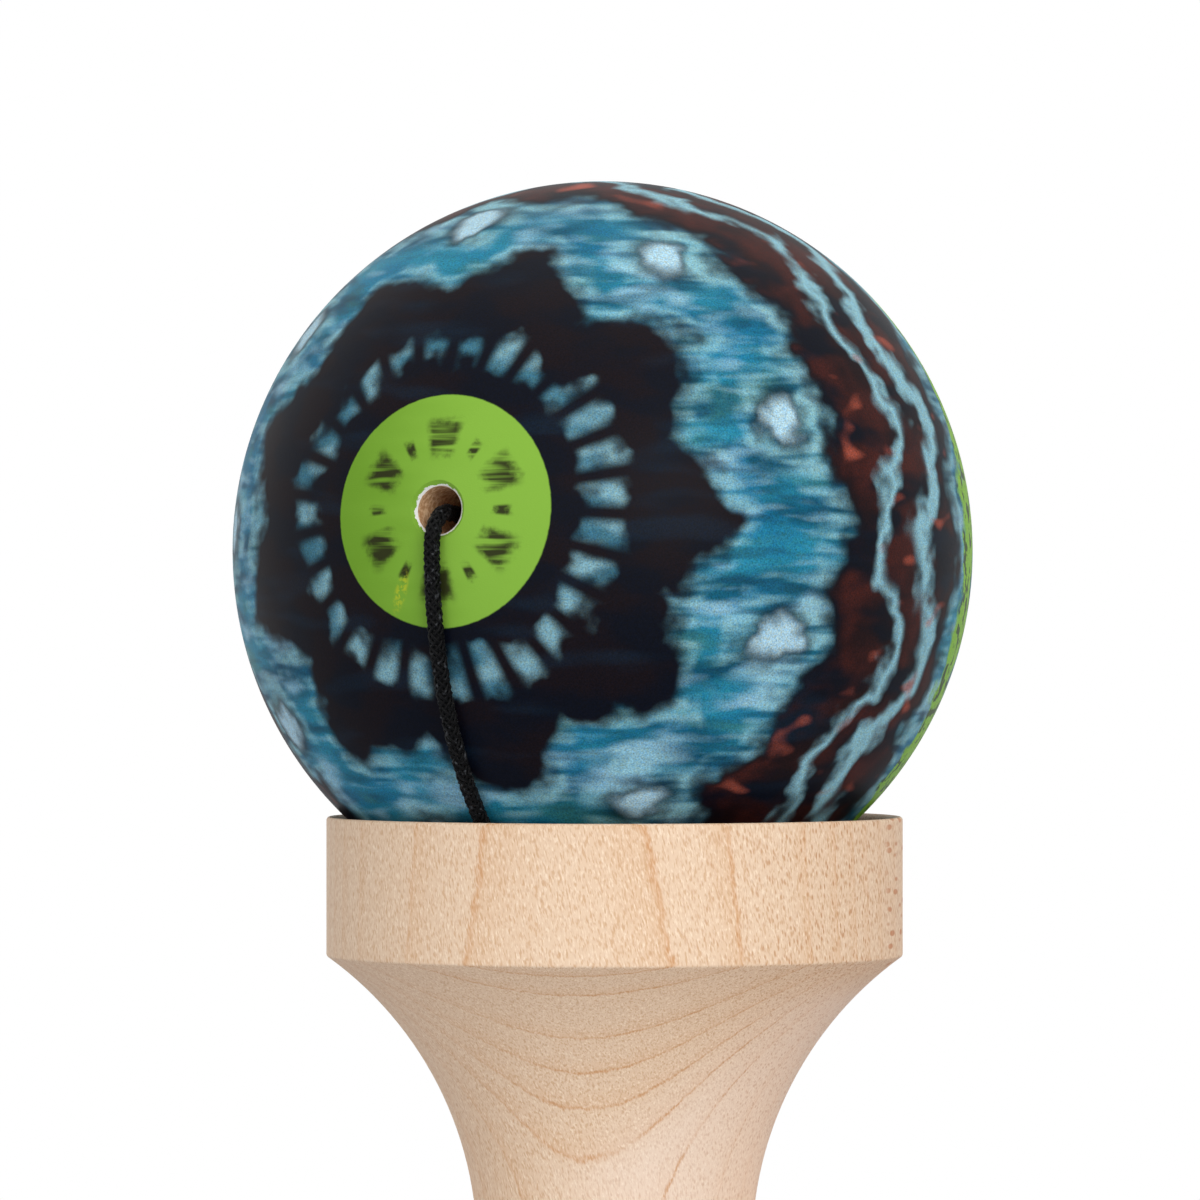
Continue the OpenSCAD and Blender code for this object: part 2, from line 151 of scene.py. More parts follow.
def upright_arc(centre, a, radius, start, stop, steps):
    """Points of an arc in the upright plane that faces angle a."""
    rows = []
    for b in np.radians(np.linspace(start, stop, steps + 1)):
        rows.append(np.array([*(flat(a) * radius * math.cos(b)), radius * math.sin(b)]) + centre)
    return rows


def on_string_axis(e):
    """Point on the line through the ball's middle and its string hole."""
    rise = math.radians(HOLE_RISE)
    return BALL_C + e * np.array([*(flat(ENTER_TURN) * math.cos(rise)), math.sin(rise)])


print("string hole at", on_string_axis(BALL_R).round(2), "mm")

# %% Down the ball
HOLE_BEND_R, LEAD_END_E, MEET_LAT = 2.6, 25.0, -50.0
EDGE_STEPS, FACE_STEPS, FACE_SKIP_A = 14, 30, 2


def drape():
    """Over the edge of the hole and down the ball's face."""
    drop = math.degrees(math.asin(HOLE_BEND_R / (LAY_R - HOLE_BEND_R)))
    lat = HOLE_RISE - drop
    centre = upright_arc(BALL_C, ENTER_TURN, LAY_R - HOLE_BEND_R, lat, lat, 1)[0]
    over = upright_arc(centre, ENTER_TURN, HOLE_BEND_R, HOLE_RISE + 90, lat, EDGE_STEPS)
    down = upright_arc(BALL_C, ENTER_TURN, LAY_R, lat - FACE_SKIP_A, MEET_LAT, FACE_STEPS)
    return [on_string_axis(LEAD_END_E), *over, *down]


print("down the ball:", len(drape()), "points")

# %% Where the string lies in the bowl
LEAVE_TURN, BOWL_BEND_R = 65.0, 4.0


def left(a):
    """Unit vector in plan, a quarter turn to the left of an angle."""
    return np.array([-math.sin(math.radians(a)), math.cos(math.radians(a))])


def bend_start(a):
    return BALL_XY + flat(a) * (LAY_R * math.cos(math.radians(MEET_LAT)) - 2 * STRING_R)


def bend_angle(a, side):
    start = bend_start(a)
    return math.degrees(math.atan2(start @ flat(a), BOWL_BEND_R + side * (start @ left(a))))


def bend_xy(a, side, b):
    ahead = flat(a) * BOWL_BEND_R * math.sin(math.radians(b))
    across = left(a) * BOWL_BEND_R * (1 - math.cos(math.radians(b)))
    return bend_start(a) - ahead + side * across


def ease(t):
    t = min(1.0, max(0.0, t))
    return t * t * (3 - 2 * t)


def on_bowl(r, lift):
    return BOWL_Z - math.sqrt((BOWL_R - STRING_FIT - STRING_R - lift) ** 2 - r * r)


def on_ball(p):
    return BALL_C[2] - math.sqrt(LAY_R**2 - np.sum((np.array(p[:2]) - BALL_XY) ** 2))


print("bends:", round(bend_angle(ENTER_TURN, 1)), "degrees in,", round(bend_angle(LEAVE_TURN, -1)), "out")

# %% The coil in the bowl
SETTLE_L, BEND_STEPS, COIL_STEP_A = 11.0, 13, 5
COIL_INNER_R, COIL_TURNS_IN, COIL_TURNS, LAYER_RISE = 8.2, 1.5, 3, 1.75


def turn_of(p):
    return math.degrees(math.atan2(p[1], p[0]))


def with_bend(points, a, side):
    """Adds the bend from the ball's face into the spiral, and lets the string settle on the bowl."""
    plan = [bend_start(a) + flat(a) * 2 * STRING_R]
    for b in np.linspace(0, bend_angle(a, side), BEND_STEPS)[:-1]:
        plan.append(bend_xy(a, side, b))
    lift = 0 if side > 0 else LAYER_RISE
    rows = np.array([[*p, on_bowl(np.linalg.norm(p), lift)] for p in plan] + [list(p) for p in points])
    run = np.r_[0, np.cumsum(np.linalg.norm(np.diff(rows[:, :2], axis=0), axis=1))]
    for row, s in zip(rows, run):
        hug, f = on_ball(row), ease(s / SETTLE_L)
        row[2] = (1 - f) * hug + f * min(hug, row[2])
    return rows


def coil(step):
    """Two layers: it winds in along the bowl, climbs, and winds out on top of itself."""
    first = bend_xy(ENTER_TURN, 1, bend_angle(ENTER_TURN, 1))
    last = bend_xy(LEAVE_TURN, -1, bend_angle(LEAVE_TURN, -1))
    whole = (turn_of(last) - turn_of(first) + 720) % 360 + COIL_TURNS * 360
    wind_in, climb = COIL_TURNS_IN * 360, 180
    first_r, last_r = np.linalg.norm(first), np.linalg.norm(last)
    rows = []
    for a in np.linspace(0, whole, math.ceil(whole / step) + 1):
        stops = [0, wind_in, wind_in + climb, whole]
        r = np.interp(a, stops, [first_r, COIL_INNER_R, COIL_INNER_R, last_r])
        rows.append([*(r * flat(turn_of(first) + a)), on_bowl(r, LAYER_RISE * ease((a - wind_in) / climb))])
    rows = with_bend(rows, ENTER_TURN, 1)
    return with_bend(rows[::-1], LEAVE_TURN, -1)[::-1]


print("coil:", len(coil(COIL_STEP_A)), "points")

# %% The loop to the waist, and the whole route
LIP_BEND_R, WAIST_BEND_R, WAIST_RUN = 2.6, 4.0, 1.2
RIM_STEPS, LIP_STEPS, DROP_STEPS, LOOP_STEPS, WAIST_STEPS = 4, 16, 12, 20, 9
LIP_SKIP_A, WAIST_SKIP_A = 8, 9


def tail():
    """Over the back of the lip, down in a loop and into the waist."""
    leave_in = BALL_XY @ flat(LEAVE_TURN)
    reach = math.sqrt(leave_in**2 - BALL_XY @ BALL_XY + BIG_R**2) - leave_in
    cross = -math.degrees(math.atan((BALL_RISE + LIP_ROUND) / reach))
    lip = upright_arc(BALL_C, LEAVE_TURN, LAY_R + LIP_BEND_R, cross, cross, 1)[0]
    drop_xy = lip[:2] + flat(LEAVE_TURN) * LIP_BEND_R
    rise_y = WAIST_R + WAIST_RUN + WAIST_BEND_R
    loop_z = AXIS_Z - WAIST_BEND_R
    span = np.array([0, rise_y]) - drop_xy
    middle = np.array([*(drop_xy + span / 2), loop_z])
    rows = upright_arc(BALL_C, LEAVE_TURN, LAY_R, MEET_LAT, cross, RIM_STEPS)
    rows += upright_arc(lip, LEAVE_TURN, LIP_BEND_R, cross + 180 - LIP_SKIP_A, 0, LIP_STEPS)
    for z in np.linspace(lip[2], loop_z, DROP_STEPS)[1:-1]:
        rows.append(np.array([*drop_xy, z]))
    rows += upright_arc(middle, turn_of(span), np.linalg.norm(span) / 2, 180, 360, LOOP_STEPS)
    bend = np.array([0, rise_y - WAIST_BEND_R, loop_z])
    rows += upright_arc(bend, 90, WAIST_BEND_R, WAIST_SKIP_A, 90, WAIST_STEPS)
    return rows + [np.array([0, WAIST_R, AXIS_Z]), np.array([0, POCKET_FLOOR_Y + KNOT_FIT, AXIS_Z])]


lead = [on_string_axis(BEAD_KNOT_E - KNOT_L / 2 - KNOT_TAIL_L), on_string_axis(BEAD_E)]
route = np.array([*lead, *drape(), *list(coil(COIL_STEP_A))[1:-1], *tail()]) * MM
string_length = np.linalg.norm(np.diff(route, axis=0), axis=1).sum()
print("string:", len(route), "points,", round(string_length * 1000, 1), "mm")

# %% [markdown]
# ## How nodes are wired
# Trees and finishes below are long chains of nodes. Plain node calls would hide what they do, so what
# leaves a node is kept as a wire, and a sum of wires adds the nodes that it stands for. A finish is then
# a few noises, angles and distances, mixed into one colour, one roughness and one bump. Colours are
# written as they look on a screen, and turned into linear light.


# %% Helper for the nodes
class Wire:
    """What leaves a node. Plus, minus, times and divided by add math nodes to its tree."""

    def __init__(self, socket):
        self.socket = socket

    def __add__(self, other):
        return compute("ADD", self, other)

    def __sub__(self, other):
        return compute("SUBTRACT", self, other)

    def __rsub__(self, other):
        return compute("SUBTRACT", other, self)

    def __mul__(self, other):
        return compute("MULTIPLY", self, other)

    def __truediv__(self, other):
        return compute("DIVIDE", self, other)

    def fade(self, low, high):
        """0 below low, 1 above high, smooth between; low may be the larger one."""
        ends = (high, low, 1.0, 0.0) if low > high else (low, high, 0.0, 1.0)
        links = dict(enumerate((self, *ends)))
        node = add(self.socket.id_data, "ShaderNodeMapRange", links, interpolation_type="SMOOTHSTEP")
        return Wire(node.outputs[0])


def connect(node, links):
    """Links or sets a node's inputs, by name or number."""
    for key, what in links.items():
        what = what.socket if isinstance(what, Wire) else what
        if isinstance(what, bpy.types.NodeSocket):
            node.id_data.links.new(what, node.inputs[key])
        else:
            node.inputs[key].default_value = what


def add(tree, kind, links=None, **settings):
    """Adds a node, sets its properties and connects its inputs."""
    node = tree.nodes.new(kind)
    for key, value in settings.items():
        setattr(node, key, value)
    connect(node, links or {})
    return node


def compute(operation, *terms):
    """Adds a math node to the tree that the terms come from."""
    tree = next(t for t in terms if isinstance(t, Wire)).socket.id_data
    return Wire(add(tree, "ShaderNodeMath", dict(enumerate(terms)), operation=operation).outputs[0])


print("node helpers ready")


# %% Colours
def paint(red, green, blue):
    """A screen colour, 0 to 255, as linear light."""
    rows = []
    for c in (red / 255, green / 255, blue / 255):
        rows.append(c / 12.92 if c <= 0.04045 else ((c + 0.055) / 1.055) ** 2.4)
    return (*rows, 1.0)


print("middle grey is", round(paint(128, 128, 128)[0], 3), "in linear light")


# %% Helper for the finishes
class Finish:
    """One material and the nodes that are added to it."""

    def __init__(self, name):
        self.material = bpy.data.materials.new(name)
        self.material.use_nodes = True
        self.tree = self.material.node_tree
        self.shader = self.tree.nodes["Principled BSDF"]
        self.place = self.wire("TexCoord", "Object")

    def wire(self, kind, output=0, links=None, **settings):
        """Adds a shader node and gives one of its outputs."""
        return Wire(add(self.tree, "ShaderNode" + kind, links, **settings).outputs[output])

    def vector(self, operation, a, b=(0, 0, 0)):
        output = "Value" if operation in ("DOT_PRODUCT", "LENGTH") else "Vector"
        return self.wire("VectorMath", output, {0: a, 1: b}, operation=operation)

    def millimetres(self, what):
        """The same place in millimetres, so that patterns are sized in them."""
        return self.wire("VectorMath", "Vector", {0: what, "Scale": 1 / MM}, operation="SCALE")

    def together(self, x, y, z=0.0):
        return self.wire("CombineXYZ", 0, {0: x, 1: y, 2: z})

    def noise(self, where, scale=1.0, detail=2.0, roughness=0.5):
        links = {"Vector": where, "Scale": scale, "Detail": detail, "Roughness": roughness}
        return self.wire("TexNoise", 0, links)

    def specks(self, where):
        """Distance to the nearest of many scattered points, for ticks and dots."""
        return self.wire("TexVoronoi", "Distance", {"Vector": where, "Scale": 1.0})

    def mix(self, share, a, b):
        return self.wire("Mix", 2, {0: share, 6: a, 7: b}, data_type="RGBA")

    def bump(self, height, distance, strength):
        links = {"Height": height, "Distance": distance, "Strength": strength}
        connect(self.shader, {"Normal": self.wire("Bump", 0, links)})

    def close(self, colour, roughness, specular):
        links = {"Base Color": colour, "Roughness": roughness, "Specular IOR Level": specular}
        connect(self.shader, links)
        return self.material


print("finish helper ready")

# %% [markdown]
# ## The string's finish
# The string is black nylon. Up close it is not one black: the fine fibres are painted a little lighter
# for the dim highlights on each yarn, and small cool grey specks are painted glints. The form comes from
# real strands, so the finish adds fine fibres and these painted highlights.

# %% Black nylon
nylon = Finish("black_nylon")
fibres = nylon.noise(nylon.place, 9000.0, 3.0)
painted_glints = nylon.noise(nylon.place, 2600.0, 1.0)
# the fibre noise is painted lighter in places, for dim highlights on the yarn crowns
nylon_colour = nylon.mix(fibres.fade(0.35, 0.75), paint(2, 2, 3), paint(17, 17, 17))
# small grey specks are painted glints of light on the yarns
nylon_colour = nylon.mix(painted_glints.fade(0.6, 0.78), nylon_colour, paint(66, 67, 69))
nylon.bump(fibres, 0.00003, 0.6)
connect(nylon.shader, {"Sheen Weight": 0.02, "Sheen Roughness": 0.4})
nylon.close(nylon_colour, fibres * 0.3 + 0.34, 0.09)
print("finish", nylon.material.name)

# %% [markdown]
# ## The braid
# The real string is a round braid of twelve yarns, six winding each way, each going over two and
# under two. A bump could suggest that, but the string crosses the front of the ball at close range,
# so the yarns are made. A node tree copies the route once for each yarn and pushes each copy out
# along a helix that rises and dips where it crosses the others.


# %% Tree helpers
def new_tree(name, inputs):
    """An empty geometry tree with named inputs; gives the tree, what is given to it, and identifiers."""
    tree = bpy.data.node_groups.new(name, "GeometryNodeTree")
    face = tree.interface
    face.new_socket("Geometry", in_out="INPUT", socket_type="NodeSocketGeometry")
    face.new_socket("Geometry", in_out="OUTPUT", socket_type="NodeSocketGeometry")
    keys = {}
    for label, kind in inputs:
        keys[label] = face.new_socket(label, in_out="INPUT", socket_type="NodeSocket" + kind).identifier
    return tree, tree.nodes.new("NodeGroupInput").outputs, keys


def finish_tree(tree, geometry, material):
    """Every tree ends the same way: real geometry with one material."""
    smooth = add(tree, "GeometryNodeSetShadeSmooth", {0: geometry})
    real = add(tree, "GeometryNodeRealizeInstances", {0: smooth.outputs[0]})
    coloured = add(tree, "GeometryNodeSetMaterial", {"Geometry": real.outputs[0], "Material": material})
    add(tree, "NodeGroupOutput", {0: coloured.outputs[0]})


def as_modified(item):
    """A plain mesh of what an object's modifiers make."""
    bpy.context.view_layer.update()
    view = item.evaluated_get(bpy.context.evaluated_depsgraph_get())
    return bpy.data.meshes.new_from_object(view)


def grow(name, points, edges, tree, keys, values):
    """Runs a tree on a line of points and keeps the result as a plain mesh at the origin."""
    line = bpy.data.meshes.new(name + "_line")
    line.from_pydata([tuple(p) for p in points], edges, [])
    seed = new_object(name + "_line", line)
    modifier = seed.modifiers.new("tree", "NODES")
    modifier.node_group = tree
    for label, value in values.items():
        modifier[keys[label]] = value
    mesh = as_modified(seed)
    mesh.name = name
    bpy.data.objects.remove(seed)
    return new_object(name, mesh)


print("tree helpers ready")

# %% Tree of the braid
YARNS_EACH_WAY, YARN_SIDES, CORE_SIDES = 6, 4, 8
BRAID_LENGTHS = ("Step", "Pitch", "Ring Radius", "Weave", "Yarn Radius", "Core Radius")
braid_inputs = [(label, "Float") for label in BRAID_LENGTHS] + [("Material", "Material")]
braid, given, braid_keys = new_tree("round_braid", braid_inputs)
line = add(braid, "GeometryNodeMeshToCurve", {0: given["Geometry"]})
even_links = {"Curve": line.outputs[0], "Length": given["Step"]}
even = add(braid, "GeometryNodeResampleCurve", even_links, mode="LENGTH")
copy_links = {"Geometry": even.outputs[0], "Amount": 2 * YARNS_EACH_WAY}
copies = add(braid, "GeometryNodeDuplicateElements", copy_links, domain="SPLINE")
yarn = Wire(copies.outputs["Duplicate Index"])
along = Wire(add(braid, "GeometryNodeSplineParameter").outputs["Length"])
way = compute("LESS_THAN", yarn, YARNS_EACH_WAY - 0.5) * 2.0 - 1.0
turn = along * math.tau / given["Pitch"]
angle = turn * way + yarn * (math.tau / YARNS_EACH_WAY)
wave = compute("COSINE", turn * (YARNS_EACH_WAY / 2) + math.pi / 4)
reach = wave * way * given["Weave"] + given["Ring Radius"]
normal = add(braid, "GeometryNodeInputNormal").outputs[0]
tangent = add(braid, "GeometryNodeInputTangent").outputs[0]
across = add(braid, "ShaderNodeVectorMath", {0: tangent, 1: normal}, operation="CROSS_PRODUCT").outputs[0]
sideways = {}
for i, (direction, part) in enumerate(((normal, "COSINE"), (across, "SINE"))):
    links = {0: direction, "Scale": compute(part, angle) * reach}
    sideways[i] = add(braid, "ShaderNodeVectorMath", links, operation="SCALE").outputs[0]
offset = add(braid, "ShaderNodeVectorMath", sideways, operation="ADD").outputs[0]
wound = add(braid, "GeometryNodeSetPosition", {"Geometry": copies.outputs[0], "Offset": offset})
tubes = []
for path, radius, sides in ((wound, "Yarn Radius", YARN_SIDES), (even, "Core Radius", CORE_SIDES)):
    ring = add(braid, "GeometryNodeCurvePrimitiveCircle", {"Resolution": sides, "Radius": given[radius]})
    links = {"Curve": path.outputs[0], "Profile Curve": ring.outputs[0], "Fill Caps": True}
    tubes.append(add(braid, "GeometryNodeCurveToMesh", links))
joined = add(braid, "GeometryNodeJoinGeometry")
for tube in tubes:
    braid.links.new(tube.outputs[0], joined.inputs[0])
finish_tree(braid, joined.outputs[0], given["Material"])
print("braid tree:", len(braid.nodes), "nodes")

# %% Grow the string
BRAID_SIZES = {
    "Step": 0.27 * MM,
    "Pitch": 3.6 * MM,
    "Ring Radius": 0.50 * MM,
    "Weave": 0.055 * MM,
    "Yarn Radius": 0.145 * MM,
    "Core Radius": 0.46 * MM,
    "Material": nylon.material,
}
route_edges = [(i, i + 1) for i in range(len(route) - 1)]
string = grow("string", route, route_edges, braid, braid_keys, BRAID_SIZES)
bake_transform(string)
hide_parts("string_lead", "string_drape", "string_coil", "string_tail")
print("string:", len(string.data.polygons), "faces")

# %% [markdown]
# ## The knots
# An overhand knot holds the string behind the bead, and another in the pocket behind the waist. The
# knot is a trefoil drawn tight round the string, so the line of a trefoil is given to the same tree.


# %% Grow the knots
TREFOIL_R, TREFOIL_SWING, TREFOIL_RISE, TREFOIL_POINTS = 0.83, 0.42, 1.45, 96


def trefoil(place, axis):
    """A tight trefoil about a point, with the string's direction as its axis."""
    points = []
    turn = Vector((0, 0, 1)).rotation_difference(Vector(axis)).to_matrix()
    for t in np.linspace(0, math.tau, TREFOIL_POINTS + 1)[:-1]:
        r = TREFOIL_R + TREFOIL_SWING * math.cos(3 * t)
        rise = TREFOIL_RISE * TREFOIL_SWING * math.sin(3 * t)
        local = Vector((r * math.cos(2 * t), r * math.sin(2 * t), rise))
        points.append((Vector(place) + turn @ local) * MM)
    return points


knot_edges = [(i, (i + 1) % TREFOIL_POINTS) for i in range(TREFOIL_POINTS)]
knot_sizes = {
    **BRAID_SIZES,
    "Step": 0.2 * MM,
    "Ring Radius": 0.34 * MM,
    "Weave": 0.04 * MM,
    "Yarn Radius": 0.16 * MM,
    "Core Radius": 0.33 * MM,
}
string_axis = on_string_axis(1) - on_string_axis(0)
bead_line = trefoil(on_string_axis(BEAD_KNOT_E), string_axis)
bead_knot = grow("bead_knot_tied", bead_line, knot_edges, braid, braid_keys, knot_sizes)
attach(bead_knot, "string_end")
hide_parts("bead_knot")
handle_line = trefoil((0, HANDLE_KNOT_Y, AXIS_Z), (0, 1, 0))
handle_knot = grow("handle_knot_tied", handle_line, knot_edges, braid, braid_keys, knot_sizes)
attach(handle_knot, "handle")
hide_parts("handle_knot")
for knot in (bead_knot, handle_knot):
    print(knot.name, "faces:", len(knot.data.polygons))

print("cord declared,", round(string_length, 4), "m on its line")

# %% [markdown]
# ## Turning
# Crosspiece, handle, ball and bead are all turned on a lathe: one outline spun about one axis. So
# one small tree does for all four. It sweeps the outline along a tiny circle, which is the same as
# spinning it, and merges the points that meet on the axis.

# %% Tree of the lathe
LATHE_CIRCLE, WELD = 1.0, 1e-6
lathe, blank, lathe_keys = new_tree("lathe", [("Segments", "Int"), ("Material", "Material")])
outline = add(lathe, "GeometryNodeMeshToCurve", {0: blank["Geometry"]})
circle = {"Resolution": blank["Segments"], "Radius": LATHE_CIRCLE * MM}
spin_path = add(lathe, "GeometryNodeCurvePrimitiveCircle", circle)
upright = add(lathe, "GeometryNodeSetCurveNormal", {"Curve": spin_path.outputs[0]}, mode="Z_UP")
sweep = {"Curve": upright.outputs[0], "Profile Curve": outline.outputs[0]}
spun = add(lathe, "GeometryNodeCurveToMesh", sweep)
merged = add(lathe, "GeometryNodeMergeByDistance", {"Geometry": spun.outputs[0], "Distance": WELD})
finish_tree(lathe, merged.outputs[0], blank["Material"])
print("lathe tree:", len(lathe.nodes), "nodes")


# %% Parts of an outline
def arc(centre, radius, start, stop, step=4.0):
    """Points of an arc in an outline, as pairs of radius and height, in millimetres."""
    count = max(2, math.ceil(abs(stop - start) / step) + 1)
    rows = []
    for a in np.radians(np.linspace(start, stop, count)):
        rows.append((centre[0] + radius * math.cos(a), centre[1] + radius * math.sin(a)))
    return rows


def heading(centre, point):
    return math.degrees(math.atan2(point[1] - centre[1], point[0] - centre[0]))


def between(start, stop, steps):
    """Points along a straight stretch, without its ends, so that long faces are cut up evenly."""
    return [tuple(np.array(start) + (np.array(stop) - start) * i / steps) for i in range(1, steps)]


print("a quarter turn has", len(arc((0, 0), 1, 0, 90)), "points")

# %% Spin an outline
SAME_POINT = 1e-4


def turned(name, rows, closed, segments, finish, place):
    """Spins an outline, moves it into place, and turns its faces outwards. An open one meets the axis."""
    if not closed:
        rows = [(0, rows[0][1]), *rows[1:-1], (0, rows[-1][1])]
    kept = [rows[0]]
    for row in rows[1:]:
        if math.dist(row, kept[-1]) > SAME_POINT:
            kept.append(row)
    points = [((r - LATHE_CIRCLE) * MM, -h * MM, 0) for r, h in kept]
    edges = [(i, i + 1) for i in range(len(points) - 1)]
    if closed:
        edges.append((len(points) - 1, 0))
    piece = grow(name, points, edges, lathe, lathe_keys, {"Segments": segments, "Material": finish})
    shape = bmesh.new()
    shape.from_mesh(piece.data)
    bmesh.ops.remove_doubles(shape, verts=shape.verts, dist=WELD)
    bmesh.ops.recalc_face_normals(shape, faces=shape.faces)
    bmesh.ops.transform(shape, matrix=place, verts=shape.verts)
    shape.to_mesh(piece.data)
    shape.free()
    return piece


print("points within", SAME_POINT, "mm are one")

# %% Drill and shade
DRILL_SIDES = 64


def drill(piece, tools):
    """Cuts tapered holes: each tool has a start, an end and two radii, in millimetres."""
    for start, stop, start_r, stop_r in tools:
        start, stop = Vector(start) * MM, Vector(stop) * MM
        shape = bmesh.new()
        sizes = {"radius1": start_r * MM, "radius2": stop_r * MM, "depth": (stop - start).length}
        bmesh.ops.create_cone(shape, cap_ends=True, segments=DRILL_SIDES, **sizes)
        aim = Vector((0, 0, 1)).rotation_difference(stop - start).to_matrix().to_4x4()
        place = Matrix.Translation((start + stop) / 2) @ aim
        bmesh.ops.transform(shape, matrix=place, verts=shape.verts)
        mesh = bpy.data.meshes.new("tool")
        shape.to_mesh(mesh)
        shape.free()
        tool = new_object("tool", mesh)
        cut = piece.modifiers.new("hole", "BOOLEAN")
        cut.object = tool
        cut.solver = "EXACT"
        drilled = as_modified(piece)
        piece.modifiers.clear()
        piece.data = drilled
        bpy.data.objects.remove(tool)


def crisp(piece, degrees):
    """Smooth shading with the turned edges kept crisp."""
    piece.data.shade_smooth()
    piece.data.set_sharp_from_angle(angle=math.radians(degrees))


print("a drill has", DRILL_SIDES, "sides")

# %% [markdown]
# ## Maple
# Crosspiece and handle are pale hard maple, sanded and left nearly bare. Thin orange-brown growth
# lines are the tree's rings about its pith, which lies outside the piece, so they draw upright lines
# on a band and long U shapes where the flare cuts them. Short flecks follow the fibres, which run a
# little aslant. Dark ticks are the ends of the rays. A paler, pinker patch on one side below the band
# is partly sapwood and partly painted bounce light from the floor below. All of it is
# a pattern in space rather than a picture wrapped on, so the lines meet at every edge and the bowls
# show the end of the grain.

# %% Directions in the wood
FIBRE_SLANT, END_CUP = 0.19, (62.0, 66.5)


class Maple(Finish):
    """A finish that knows which way its grain runs. Its places are in millimetres."""

    def __init__(self, name, grain, ray_side, seed):
        super().__init__(name)
        self.grain, self.ray_side = grain, ray_side
        self.spot = self.millimetres(self.place)
        self.along = self.vector("DOT_PRODUCT", self.spot, grain)
        self.side = self.vector("DOT_PRODUCT", self.spot, ray_side)
        self.on_cup = self.along.fade(*END_CUP)
        self.shifted = self.vector("ADD", self.spot, (seed, seed * 1.7, seed * 0.6))
        slip = self.along * FIBRE_SLANT
        self.fibre = self.vector("ADD", self.shifted, self.together(*(slip * s for s in ray_side)))

    def stretched(self, where, across, length):
        """Space squeezed across the grain and drawn out along it."""
        return self.vector("MULTIPLY", where, tuple(length if g else across for g in self.grain))


print("fibres run", FIBRE_SLANT, "aslant")

# %% Growth lines
LINE_HALF, LINE_SHADE = 0.12, 0.9


def growth(wood, pith, lean, rings):
    """Distance from the pith, and the thin lines and the soft shade that the rings draw."""
    slow = wood.noise(wood.stretched(wood.shifted, 0.07, 0.02))
    quick = wood.noise(wood.stretched(wood.shifted, 1.2, 0.6))
    across = tuple(1 - g for g in wood.grain)
    outward = wood.vector("MULTIPLY", wood.vector("SUBTRACT", wood.spot, pith), across)
    depth = wood.along * lean + wood.vector("LENGTH", outward)
    depth = depth + (slow * 0.8 - 0.4) + (quick * 0.24 - 0.12)
    thin, shade = 0.0, 0.0
    for ring in rings:
        off = depth - ring
        thin = compute("MAXIMUM", thin, compute("ABSOLUTE", off).fade(LINE_HALF, 0.0))
        near = off.fade(-0.05, 0.0) * off.fade(LINE_SHADE, 0.0)
        shade = compute("MAXIMUM", shade, near)
    return depth, thin, shade


def boldness(wood, depth):
    """How strongly a line shows: most on the front, less round the sides and near the pith."""
    bold = compute("MAXIMUM", wood.side.fade(-14.0, -1.0), wood.on_cup * 0.9)
    bold = bold * wood.side.fade(23.0, 7.0) * wood.side.fade(-20.0, -11.0)
    patches = wood.noise(wood.stretched(wood.shifted, 0.3, 0.15))
    return bold * depth.fade(42.0, 47.5) * patches.fade(0.2, 0.6)


print("a growth line is", 2 * LINE_HALF, "mm wide")


# %% Rays, sapwood and painted bounce light
def ray_ticks(wood):
    """Small dark ticks, denser towards the ray side and on the cup."""
    spread = (wood.side.fade(0.0, 19.0) * 0.68 + 0.18) * (wood.on_cup * 0.25 + 0.75)
    return wood.specks(wood.stretched(wood.fibre, 3.2, 1.15)).fade(0.4, 0.12) * spread


def ray_flakes(wood):
    """Long flakes at the very edge of the ray side, where the rays lie flat on the surface."""
    scale = tuple(1.2 if g else 0.05 if s else 0.4 for g, s in zip(wood.grain, wood.ray_side))
    flakes = wood.specks(wood.vector("MULTIPLY", wood.shifted, scale))
    return flakes.fade(0.36, 0.2) * wood.side.fade(21.4, 22.2)


def sapwood_and_bounce_light(wood):
    """Paler, pinker colour on the ray side, partly sapwood and partly painted bounce light from below, with
    a slanting edge that stops below the cup's band.
    """
    climb = compute("MAXIMUM", wood.along - 54.0, -4.0)
    return (climb * -1.2 + wood.side).fade(-3.0, 8.0) * wood.along.fade(66.0, 63.0)


print("rays and sapwood ready")


